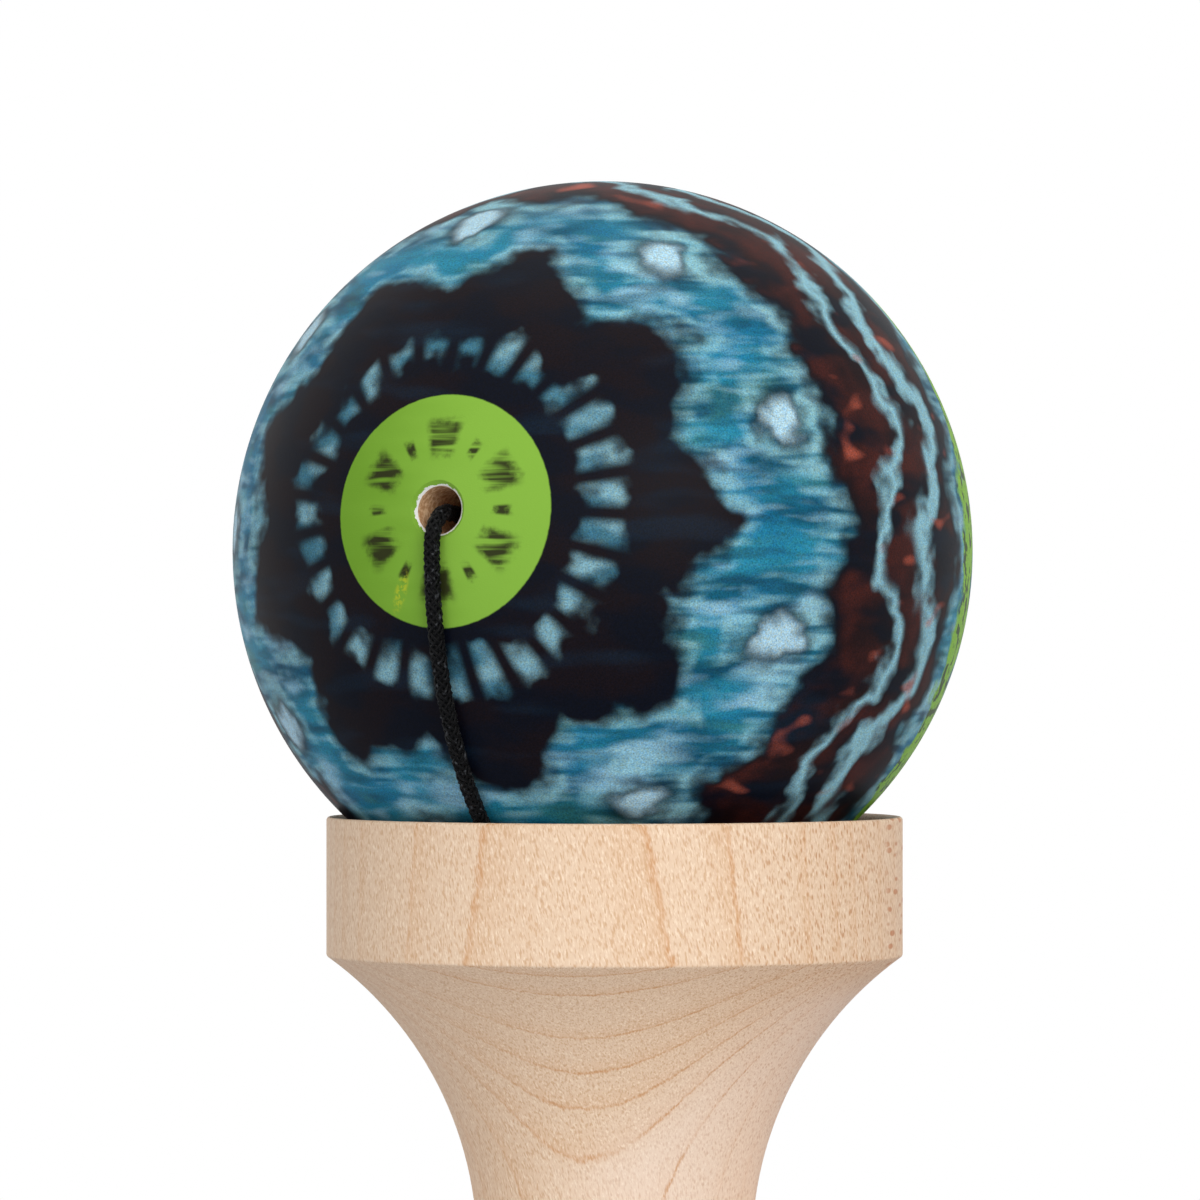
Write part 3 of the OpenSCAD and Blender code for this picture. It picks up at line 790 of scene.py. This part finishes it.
# %% Maple finish
def maple(name, grain, pith, lean, ray_side, rings, seed):
    """Maple with its grain along an axis and growth rings about the tree's pith, in millimetres."""
    wood = Maple(name, grain, ray_side, seed)
    depth, thin, shade = growth(wood, pith, lean, rings)
    flecks = wood.noise(wood.stretched(wood.fibre, 7.6, 1.9), 1.0, 2.0, 0.6)
    dashes = wood.vector("ADD", wood.stretched(wood.fibre, 7.2, 1.75), (9, 4, 2))
    dashes = wood.noise(dashes, 1.0, 1.0)
    pores = wood.specks(wood.stretched(wood.fibre, 2.6, 1.0))
    threads = wood.noise(wood.stretched(wood.fibre, 7.0, 0.5))
    clouds = wood.noise(wood.stretched(wood.shifted, 0.11, 0.03), 1.0, 3.0)
    colour = wood.mix(clouds, paint(231, 197, 163), paint(239, 209, 178))
    for mask, share, tone in (
        (shade, 0.28, (222, 172, 124)),
        (threads.fade(0.5, 0.75), 0.1, (216, 180, 148)),
        (flecks.fade(0.5, 0.3), 0.76, (253, 229, 202)),
        (dashes.fade(0.5, 0.68), 0.64, (210, 163, 119)),
        # partly sapwood, partly painted bounce light from the floor: paler and pinker below the band
        (sapwood_and_bounce_light(wood), 0.4, (252, 232, 216)),
        (pores.fade(0.28, 0.1), 0.25, (189, 138, 96)),
        (ray_ticks(wood), 1.0, (198, 140, 93)),
        (ray_flakes(wood), 0.8, (196, 122, 72)),
    ):
        colour = wood.mix(mask * share, colour, paint(*tone))
    line = thin * (boldness(wood, depth) * 0.58 + 0.1) * (dashes.fade(0.36, 0.58) * 0.6 + 0.4)
    colour = wood.mix(line, colour, paint(204, 138, 76))
    wood.bump(flecks - dashes * 0.6, 0.00004, 0.5)
    return wood.close(colour, flecks * 0.2 + 0.48, 0.3)


CROSS_PITH, HANDLE_PITH = (6.5, 37.7, 0.0), (0.0, 31.0, -1.0)
CROSS_RINGS = (57.9, 56.15, 53.1, 51.25, 49.75, 48.4, 46.6, 43.7)
CROSS_RINGS += (41.0, 37.9, 35.2, 31.9, 29.6, 26.0, 22.7, 19.1)
HANDLE_RINGS = (67.4, 64.7, 61.5, 59.8, 56.6, 54.3, 50.4, 48.0, 43.8, 41.3, 37.9, 34.4)
cross_maple = maple("maple_upright", (0, 0, 1), CROSS_PITH, -0.04, (1, 0, 0), CROSS_RINGS, 11.0)
handle_maple = maple("maple_lengthwise", (1, 0, 0), HANDLE_PITH, 0.02, (0, 1, 0), HANDLE_RINGS, 47.0)
print("finishes", cross_maple.name, handle_maple.name)

# %% [markdown]
# ## The crosspiece
# Two cups on one waist. The outline is drawn from the bowl's floor over the round lip, down the
# straight band, along the flare to the waist, and the same again for the small cup it stands on.
# The holes for the handle and for the string are then drilled.


# %% Outline of the crosspiece
def band_edge(band_r, flare_centre, flare_radius, side):
    """Rounded corner between a straight band and its flare: its centre, and where it meets the flare."""
    centre_r = band_r - BAND_ROUND
    reach = math.sqrt((flare_radius + BAND_ROUND) ** 2 - (flare_centre[0] - centre_r) ** 2)
    centre = (centre_r, flare_centre[1] + side * reach)
    return centre, heading(centre, flare_centre)


lip_centre = (BIG_R, RIM_Z - LIP_ROUND)
edge_centre = (BIG_R - EDGE_ROUND, RIM_Z - EDGE_ROUND)
gap = math.dist(lip_centre, edge_centre)
share = (gap**2 + LIP_ROUND**2 - EDGE_ROUND**2) / (2 * gap)
swing = math.degrees(math.acos(share / LIP_ROUND))
lip_stop = heading(lip_centre, edge_centre) - swing
lip_meet = arc(lip_centre, LIP_ROUND, lip_stop, lip_stop)[0]
big_flare = (WAIST_R + BIG_FLARE_R, AXIS_Z + WAIST_H / 2)
big_edge, big_edge_stop = band_edge(BIG_R, big_flare, BIG_FLARE_R, 1)
small_flare = (WAIST_R + SMALL_FLARE_R, AXIS_Z - WAIST_H / 2)
small_edge, small_edge_stop = band_edge(SMALL_R, small_flare, SMALL_FLARE_R, -1)
mouth_r = SMALL_R - SMALL_LIP_W
small_bowl_r = (mouth_r**2 + SMALL_BOWL_DEPTH**2) / (2 * SMALL_BOWL_DEPTH)
small_bowl = (0, SMALL_BOWL_DEPTH - small_bowl_r)
bowl_stop = heading((0, BOWL_Z), lip_centre)
cross_rows = [
    *arc((0, BOWL_Z), BOWL_R, -90, bowl_stop, 2.5),
    *arc(lip_centre, LIP_ROUND, bowl_stop + 180, lip_stop, 6),
    *arc(edge_centre, EDGE_ROUND, heading(edge_centre, lip_meet), 0, 8),
    *between((BIG_R, edge_centre[1]), (BIG_R, big_edge[1]), 6),
    *arc(big_edge, BAND_ROUND, 0, big_edge_stop, 8),
    *arc(big_flare, BIG_FLARE_R, big_edge_stop + 180, 180, 2),
    *between((WAIST_R, big_flare[1]), (WAIST_R, small_flare[1]), 8),
    *arc(small_flare, SMALL_FLARE_R, 180, small_edge_stop + 180, 2),
    *arc(small_edge, BAND_ROUND, small_edge_stop, 0, 8),
    *between((SMALL_R, small_edge[1]), (SMALL_R, EDGE_ROUND), 5),
    *arc((SMALL_R - EDGE_ROUND, EDGE_ROUND), EDGE_ROUND, 0, -90, 10),
    *arc(small_bowl, small_bowl_r, heading(small_bowl, (mouth_r, 0)), 90, 2.5),
]
print("crosspiece outline:", len(cross_rows), "points")

# %% Turn and drill the crosspiece
TENON_R, SHOULDER_R, TENON_FIT = 5.9, 8.2, 0.05
CROSS_SIDES, TURNED_CREASE = 192, 40
WAIST_HOLE_R, POCKET_R = 1.3, 2.1
SEAT_X = math.sqrt(WAIST_R**2 - (SHOULDER_R + TENON_FIT) ** 2)
TAPER = (TENON_R - SPIKE_ROOT_R) / (WAIST_R + SEAT_X)
crosspiece = turned("crosspiece_turned", cross_rows, False, CROSS_SIDES, cross_maple, Matrix.Identity(4))
narrow, wide = SPIKE_ROOT_R + TENON_FIT - TAPER, TENON_R + TENON_FIT + TAPER
seat_r = SHOULDER_R + TENON_FIT
through = ((-WAIST_R - 1, 0, AXIS_Z), (SEAT_X + 1, 0, AXIS_Z), narrow, wide)
seat = ((SEAT_X, 0, AXIS_Z), (SEAT_X + WAIST_R, 0, AXIS_Z), seat_r, seat_r)
string_way = ((0, 0, AXIS_Z), (0, WAIST_R + 1, AXIS_Z), WAIST_HOLE_R, WAIST_HOLE_R)
drill(crosspiece, [through, seat, string_way])
crisp(crosspiece, TURNED_CREASE)
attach(crosspiece, "handle")
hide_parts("crosspiece")
print("crosspiece:", len(crosspiece.data.polygons), "faces")

# %% [markdown]
# ## The handle
# A spike at one end, a tenon that the crosspiece is pushed onto, a long barrel-shaped grip and a
# third, shallow cup at the other end. It is one more outline on the same lathe, laid along X.

# %% Outline of the handle
SPIKE_TIP_R, SPIKE_REACH = 3.1, 50.0
GRIP_R, GRIP_MIDDLE, GRIP_CURVE_R, GRIP_END = 9.2, 36.0, 322.0, 70.0
BASE_FLARE_R, BASE_R, BASE_BAND_L, BASE_BOWL_DEPTH, BASE_LIP_W = 28.0, 18.2, 10.0, 7.0, 2.0
SHOULDER_STAND = 1.6
tip = (0, SPIKE_TIP_R - SPIKE_REACH)
tip_slope = math.degrees(math.atan((SPIKE_ROOT_R - SPIKE_TIP_R) / (SPIKE_REACH - SPIKE_TIP_R - WAIST_R)))
grip_centre = (GRIP_R - GRIP_CURVE_R, GRIP_MIDDLE)
shoulder_stop = WAIST_R + SHOULDER_STAND
grip_start_a = math.degrees(math.asin((shoulder_stop - GRIP_MIDDLE) / GRIP_CURVE_R))
grip_stop_a = math.degrees(math.asin((GRIP_END - GRIP_MIDDLE) / GRIP_CURVE_R))
grip_stop = arc(grip_centre, GRIP_CURVE_R, grip_stop_a, grip_stop_a)[0]
base_flare = (
    grip_stop[0] + BASE_FLARE_R * math.cos(math.radians(grip_stop_a)),
    GRIP_END + BASE_FLARE_R * math.sin(math.radians(grip_stop_a)),
)
base_edge, base_edge_stop = band_edge(BASE_R, base_flare, BASE_FLARE_R, 1)
base_x = base_flare[1] + math.sqrt(BASE_FLARE_R**2 - (base_flare[0] - BASE_R) ** 2) + BASE_BAND_L
base_mouth_r = BASE_R - BASE_LIP_W
base_bowl_r = (base_mouth_r**2 + BASE_BOWL_DEPTH**2) / (2 * BASE_BOWL_DEPTH)
base_bowl = (0, base_x - BASE_BOWL_DEPTH + base_bowl_r)
tip_rows = arc(tip, SPIKE_TIP_R, -90, -tip_slope, 8)
handle_rows = [
    *tip_rows,
    *between(tip_rows[-1], (SPIKE_ROOT_R, -WAIST_R), 12),
    (SPIKE_ROOT_R, -WAIST_R),
    (TENON_R, SEAT_X),
    (SHOULDER_R, SEAT_X + TENON_FIT),
    (SHOULDER_R, shoulder_stop),
    *arc(grip_centre, GRIP_CURVE_R, grip_start_a, grip_stop_a, 0.5),
    *arc(base_flare, BASE_FLARE_R, 180 + grip_stop_a, base_edge_stop + 180, 2.5),
    *arc(base_edge, BAND_ROUND, base_edge_stop, 0, 8),
    *between((BASE_R, base_edge[1]), (BASE_R, base_x - EDGE_ROUND), 5),
    *arc((BASE_R - EDGE_ROUND, base_x - EDGE_ROUND), EDGE_ROUND, 0, 90, 10),
    *arc(base_bowl, base_bowl_r, heading(base_bowl, (base_mouth_r, base_x)), -90, 2.5),
]
print("handle outline:", len(handle_rows), "points, base rim at", round(base_x, 3), "mm")

# %% Turn the handle
HANDLE_SIDES = 128
along_x = Matrix.Translation((0, 0, AXIS_Z * MM)) @ Matrix.Rotation(math.radians(90), 4, "Y")
handle = turned("handle_turned", handle_rows, False, HANDLE_SIDES, handle_maple, along_x)
drill(handle, [((0, POCKET_FLOOR_Y, AXIS_Z), (0, 2 * TENON_R, AXIS_Z), POCKET_R, POCKET_R)])
crisp(handle, TURNED_CREASE)
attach(handle, "handle")
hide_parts("handle")
print("handle:", len(handle.data.polygons), "faces")

# %% [markdown]
# ## The ball's print
# The ball is wood under a satin coat with an all-over print in weathered teal, near-black, maroon,
# pale cyan and lime green. The print here is a plain design of rings about the string hole, in those
# colours and at that scale, with edges and brush streaks as worn as on the real one. The angle from
# the string axis gives the rings, and the angle round it counts their dashes and points.

# %% Directions on the ball
ball_axis = Vector(string_axis).normalized()
ball_side = Vector((*left(ENTER_TURN), 0))
ball_up = ball_axis.cross(ball_side)
ink = Finish("printed_ball")
from_middle = ink.vector("SUBTRACT", ink.place, tuple(float(c) for c in BALL_C * MM))
facing = ink.vector("NORMALIZE", from_middle)
to_side = ink.vector("DOT_PRODUCT", facing, tuple(ball_side))
to_top = ink.vector("DOT_PRODUCT", facing, tuple(ball_up))
to_hole = ink.vector("DOT_PRODUCT", facing, tuple(ball_axis))
theta = compute("ARCCOSINE", to_hole) * (180 / math.pi)
phi = compute("ARCTAN2", to_top, to_side)
grain = ink.millimetres(from_middle)
print("string axis", tuple(round(c, 3) for c in ball_axis))


# %% Brush strokes and torn edges
def brushed(scale, detail, roughness=0.5, where=grain):
    """Noise drawn out along the strokes."""
    return ink.noise(ink.vector("MULTIPLY", where, scale), 1.0, detail, roughness)


wobble = ink.noise(grain, 0.24, 2.0, 0.5) - 0.5
ripple = ink.noise(grain, 0.7, 1.0, 0.5) - 0.5
tear = ink.noise(grain, 1.8, 3.0, 0.6) - 0.5
ringed = theta + (wobble * 13.0 + ripple * 3.0)
lines = brushed((0.17, 0.17, 1.05), 1.2)
sweeps = brushed((0.1, 0.1, 0.42), 1.4)
blots = brushed((0.16, 0.2, 0.34), 2.0, 0.45)
milk = brushed((0.13, 0.13, 0.36), 2.0, 0.5, ink.vector("ADD", grain, (31, 7, 53)))
print("seven noises for the print")

# %% Teal field and dark inks
LIT, LIME = paint(140, 186, 196), paint(128, 178, 54)
field = ink.mix(sweeps.fade(0.36, 0.64), paint(14, 76, 98), paint(38, 126, 150))
for noise, low, high, share, tone in (
    (blots, 0.5, 0.66, 0.6, (26, 113, 146)),
    (milk, 0.5, 0.7, 0.85, (144, 186, 203)),
    (milk, 0.44, 0.28, 0.6, (56, 117, 113)),
    (lines, 0.54, 0.74, 0.26, (168, 208, 220)),
    (lines, 0.46, 0.26, 0.4, (26, 52, 68)),
):
    field = ink.mix(noise.fade(low, high) * share, field, paint(*tone))
dark = ink.mix(blots.fade(0.4, 0.6), paint(9, 12, 22), paint(19, 13, 18))
dark = ink.mix(sweeps.fade(0.52, 0.72) * 0.35, dark, paint(20, 40, 56))
rust = ink.mix(wobble.fade(-0.2, 0.2), paint(28, 14, 16), paint(64, 28, 24))
green = ink.mix(ink.noise(grain, 0.9).fade(0.52, 0.6), LIME, paint(58, 78, 40))
print("field and inks mixed")


# %% Shapes that the rings are made of
def saw(count, shift=0.0):
    """0 to 0.5 and back, count times round the ring."""
    return compute("PINGPONG", phi * (count / math.tau) + (100.0 + shift), 0.5)


def band(what, low, high, soft=1.2):
    """1 between two angles, with soft edges."""
    return what.fade(low - soft, low + soft) * what.fade(high + soft, high - soft)


def stain(colour, depth, soft=2.6):
    """Dark ink where depth is above 0, with a pale lit fringe just outside its blurred edge."""
    fringe = depth.fade(-5.0, -1.6) * lines.fade(0.34, 0.6)
    colour = ink.mix(fringe * 0.5, colour, paint(150, 200, 206))
    return ink.mix(depth.fade(-soft, soft), colour, dark)


print("ring shapes ready")

# %% Star, dashes and spots
POINTS, STAR_A, POINT_DEPTH_A = 9, 47.5, 19.0
DASHES, DASH_A = 27, (23.8, 27.7)
SPOT_A, SPOT_R, SPOT_SPREAD = 56.0, 5.0, 32.0
colour = stain(field, STAR_A - ringed - saw(POINTS) * POINT_DEPTH_A)
dash = band(ringed, *DASH_A, 1.7) * saw(DASHES).fade(0.06, 0.4)
dash_tone = ink.mix(blots.fade(0.4, 0.6), paint(70, 124, 142), LIT)
colour = ink.mix(dash * 0.72, colour, dash_tone)
spot = ink.together(ringed - SPOT_A, saw(POINTS, 0.5) * SPOT_SPREAD)
spot = SPOT_R - ink.vector("LENGTH", spot)
colour = stain(colour, spot, 2.4)
colour = ink.mix(spot.fade(0.4, 3.4) * 0.92, colour, paint(176, 210, 222))
print("star of", POINTS, "points,", DASHES, "dashes")

# %% Belt with wavy lines
BELT_A, BELT_WAVES, BELT_DEPTH_A = (64.5, 99.0), 18, 7.0
WAVES, WAVE_DEPTH_A, WAVE_LINES_A = 10.0, 3.4, ((76.5, 1.5), (86.5, 2.2))
rope = saw(BELT_WAVES) * BELT_DEPTH_A + ringed
belt = compute("MINIMUM", rope - BELT_A[0], BELT_A[1] - rope)
in_belt = belt.fade(1.5, 4.5)
colour = stain(colour, belt)
colour = ink.mix(in_belt * blots.fade(0.38, 0.6), colour, rust)
streaks = ink.together(theta * 0.12, compute("COSINE", phi) * 3.0, compute("SINE", phi) * 3.0)
worn = ink.noise(streaks, 1.0, 1.0, 0.55).fade(0.34, 0.5)
scallop = compute("COSINE", phi * WAVES) * WAVE_DEPTH_A + ringed
for middle, width in WAVE_LINES_A:
    line = band(scallop, middle - width, middle + width, 1.7)
    colour = ink.mix(line * worn * 0.95, colour, LIT)
ember = in_belt * brushed((0.34, 0.34, 0.6), 0.0, 0.4).fade(0.66, 0.92)
colour = ink.mix(ember * 0.8, colour, paint(170, 84, 66))
print("belt from", BELT_A[0], "to", BELT_A[1], "degrees")

# %% Rings on the far side
LIME_A, DARK_A, END_A = (101.5, 111.0), (122.0, 141.0), (149.0, 151.5)
FAR_DASHES, FAR_DASH_A = 15, (129.0, 134.0)
colour = ink.mix(band(ringed, *LIME_A), colour, green)
colour = ink.mix(band(ringed, *DARK_A), colour, dark)
far_dash = band(ringed, *FAR_DASH_A) * saw(FAR_DASHES).fade(0.14, 0.26)
colour = ink.mix(far_dash * 0.8, colour, paint(108, 163, 180))
colour = ink.mix(ringed.fade(*END_A), colour, green)
print("rings round to", END_A[0], "degrees")

# %% [markdown]
# ## Grain, cap and bare wood
# Seen close, the print has a fine grain of lighter and darker, warmer and cooler points, so it is laid
# over all the rings. The lime cap about the string hole is smooth and comes after it, with a few worn
# brown marks and a yellow scuff. In the holes the coat is chipped to white, and further in the wood
# is bare.

# %% Fine grain of the print
speck = ink.noise(grain, 7.5, 1.0, 0.7)
light = speck * 1.5 + 0.25
warmth = ink.noise(ink.vector("ADD", grain, (5, 61, 17)), 6.5, 1.0, 0.7) * 0.9 - 0.45
colour = ink.vector("MULTIPLY", colour, ink.together(light + warmth, light, light - warmth))
print("grain laid over the rings")

# %% Lime cap
CAP_A, MARKS, MARK_A, SEED_A = (18.0, 17.7), 6, (8.6, 13.6), (9.4, 11.6)
SCUFF, SCUFF_LEAN, SCUFF_SCALE = (-0.109, -0.214), -0.35, (42.0, 15.0)
# the lime is darker towards the ball's left side and lighter towards its right
cap_side = (sweeps * 0.3 + to_side).fade(-0.15, 0.27)
cap_colour = ink.mix(cap_side, paint(109, 152, 44), paint(130, 174, 61))
mark_edge = tear * 2.4 + theta
mark = band(mark_edge, *MARK_A) * (tear * 0.1 + saw(MARKS)).fade(0.24, 0.36)
seed = band(mark_edge, *SEED_A, 0.8) * saw(MARKS, 0.5).fade(0.41, 0.46)
hatch = (brushed((0.2, 0.2, 3.4), 1.0) * 0.6 + lines).fade(0.5, 0.85)
mark = compute("MAXIMUM", mark, seed) * hatch
cap_colour = ink.mix(mark * 0.95, cap_colour, paint(38, 32, 20))
scuff_up = to_top - SCUFF[1]
scuff_side = scuff_up * SCUFF_LEAN + (to_side - SCUFF[0])
scuff = ink.together(scuff_side * SCUFF_SCALE[0], scuff_up * SCUFF_SCALE[1])
scuff = ink.vector("LENGTH", scuff).fade(1.0, 0.3) * tear.fade(-0.08, 0.06)
cap_colour = ink.mix(scuff * 0.75, cap_colour, paint(188, 190, 44))
colour = ink.mix((tear * 0.2 + theta).fade(*CAP_A), colour, cap_colour)
print("lime cap to", CAP_A[0], "degrees")

# %% Chipped coat and bare wood in the holes
CHIP_DEPTH, BARE_DEPTH = (0.27, 0.31), (0.42, 0.46)
height = ink.vector("LENGTH", grain)
chip = (tear * 0.62 + height).fade(*(BALL_R - d for d in CHIP_DEPTH))
colour = ink.mix(chip, colour, paint(228, 226, 218))
bare = (tear * 0.1 + height).fade(*(BALL_R - d for d in BARE_DEPTH))
rings = ink.noise(grain, 3.2, 3.0).fade(0.36, 0.66)
colour = ink.mix(bare, colour, ink.mix(rings, paint(204, 154, 110), paint(244, 208, 166)))
ink.bump(speck + lines * 0.3, 0.00002, 0.5)
ink.close(colour, speck * 0.16 + 0.4, 0.06)
print("ball print:", len(ink.tree.nodes), "nodes")

# %% [markdown]
# ## The ball and its bead
# The ball is drilled from one side for the spike and from the other for the string, so its outline is
# a closed loop. A wooden bead inside lets it spin without twisting the string.

# %% Turn the ball
BALL_SIDES, BALL_CREASE = 224, 35


def mouth(hole_r, bevel, side):
    """The two ends of the bevel round a hole: on the hole's wall and on the ball."""
    wall_e = math.sqrt(BALL_R**2 - hole_r**2) - bevel
    cone = hole_r - wall_e
    ball_e = (math.sqrt(2 * BALL_R**2 - cone**2) - cone) / 2
    return (hole_r, side * wall_e), (cone + ball_e, side * ball_e)


hole_mouth, hole_meet = mouth(STRING_HOLE_R, HOLE_BEVEL, 1)
bore_mouth, bore_meet = mouth(SPIKE_BORE_R, BORE_BEVEL, -1)
ball_rows = [
    (STRING_HOLE_R, BORE_FLOOR),
    *between((STRING_HOLE_R, BORE_FLOOR), hole_mouth, 10),
    hole_mouth,
    *arc((0, 0), BALL_R, heading((0, 0), hole_meet), heading((0, 0), bore_meet), 1.6),
    bore_mouth,
    *between(bore_mouth, (SPIKE_BORE_R, BORE_FLOOR), 14),
    (SPIKE_BORE_R, BORE_FLOOR),
    *between((SPIKE_BORE_R, BORE_FLOOR), (STRING_HOLE_R, BORE_FLOOR), 5),
]
on_axis = Matrix((ball_side, ball_up, ball_axis)).transposed().to_4x4()
string_frame = Matrix.Translation(Vector(BALL_C * MM)) @ on_axis
ball = turned("ball_turned", ball_rows, True, BALL_SIDES, ink.material, string_frame)
crisp(ball, BALL_CREASE)
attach(ball, "ball")
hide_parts("ball")
print("ball:", len(ball.data.polygons), "faces")

# %% Turn the bead
BEAD_SIDES = 64
bead_wood = Finish("bead_wood")
bead_place = bead_wood.vector("MULTIPLY", bead_wood.place, (2600, 700, 2600))
bead_grain = bead_wood.noise(bead_place, 1.0, 3.0)
bead_colour = bead_wood.mix(bead_grain.fade(0.3, 0.7), paint(206, 166, 122), paint(186, 140, 96))
bead_wood.bump(bead_grain, 0.00004, 0.5)
bead_wood.close(bead_colour, bead_grain * 0.2 + 0.35, 0.45)
bead_hole_a = math.degrees(math.acos(BEAD_HOLE_R / BEAD_R))
bead_rows = arc((0, BEAD_E), BEAD_R, bead_hole_a, -bead_hole_a, 6)
bead_rows += between(bead_rows[-1], bead_rows[0], 6)
bead = turned("bead_turned", bead_rows, True, BEAD_SIDES, bead_wood.material, string_frame)
crisp(bead, TURNED_CREASE)
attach(bead, "string_end")
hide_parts("swivel_bead")
print("bead:", len(bead.data.polygons), "faces")

# %% [markdown]
# ## Studio
# The photograph is a product shot on pure white, with a broad soft light from the front and upper
# right. The floor keeps the toy's shadow close by and fades to white further out.

# %% Floor
FLOOR_REACH, WHITE_FROM, WHITE_FULL = 6.0, 0.16, 0.42


def sight_rays(tree):
    """Two wires: 1 for rays from the camera, and 1 for those from camera, mirrors and glass."""
    path = add(tree, "ShaderNodeLightPath").outputs
    camera_ray = Wire(path["Is Camera Ray"])
    seen = camera_ray
    for label in ("Is Glossy Ray", "Is Transmission Ray"):
        seen = compute("MAXIMUM", seen, path[label])
    return camera_ray, seen


corners = [(x * FLOOR_REACH, y * FLOOR_REACH, 0) for x, y in ((-1, -1), (1, -1), (1, 1), (-1, 1))]
floor_mesh = bpy.data.meshes.new("floor")
floor_mesh.from_pydata(corners, [], [(0, 1, 2, 3)])
floor = new_object("floor", floor_mesh)
ground = Finish("white_floor")
far = ground.vector("LENGTH", ground.place).fade(WHITE_FROM, WHITE_FULL)
camera_ray, seen = sight_rays(ground.tree)
floor_colour = ground.mix(camera_ray, (0.50, 0.54, 0.60, 1), (0.86, 0.86, 0.86, 1))
ground.close(floor_colour, 0.9, 0.1)
white = ground.wire("Emission", 0, {"Strength": 1.0})
shaders = {0: far * seen, 1: ground.shader.outputs[0], 2: white}
surface = ground.wire("MixShader", 0, shaders)
connect(ground.tree.nodes["Material Output"], {"Surface": surface})
floor.data.materials.append(ground.material)
print("floor ready")

# %% World
SKY_LIGHT, SKY_TINT = 0.53, (0.98, 1.01, 1.06, 1)
world = bpy.data.worlds.new("studio")
bpy.context.scene.world = world
world.use_nodes = True
sky = world.node_tree
seen = sight_rays(sky)[1]
tone = add(sky, "ShaderNodeMix", {0: seen, 6: SKY_TINT, 7: (1, 1, 1, 1)}, data_type="RGBA").outputs[2]
connect(sky.nodes["Background"], {"Strength": seen * (1 - SKY_LIGHT) + SKY_LIGHT, "Color": tone})
print("world ready")

# %% Lamps
LAMP_AIM = Vector((0, 0, 0.085))


def soft_lamp(name, place, size, power):
    """A square soft box that looks at the rim of the big cup."""
    lamp = bpy.data.lights.new(name, "AREA")
    lamp.shape = "SQUARE"
    lamp.size = size
    lamp.energy = power
    holder = new_object(name, lamp)
    holder.location = place
    look = LAMP_AIM - Vector(place)
    holder.rotation_euler = look.to_track_quat("-Z", "Y").to_euler()


soft_lamp("front_right_box", (0.34, -0.85, 0.42), 0.5, 4.6)
soft_lamp("front_left_box", (-0.55, -0.75, 0.25), 0.5, 1.6)
soft_lamp("top_box", (0.05, 0.0, 0.9), 0.7, 2.0)
print("three soft boxes")
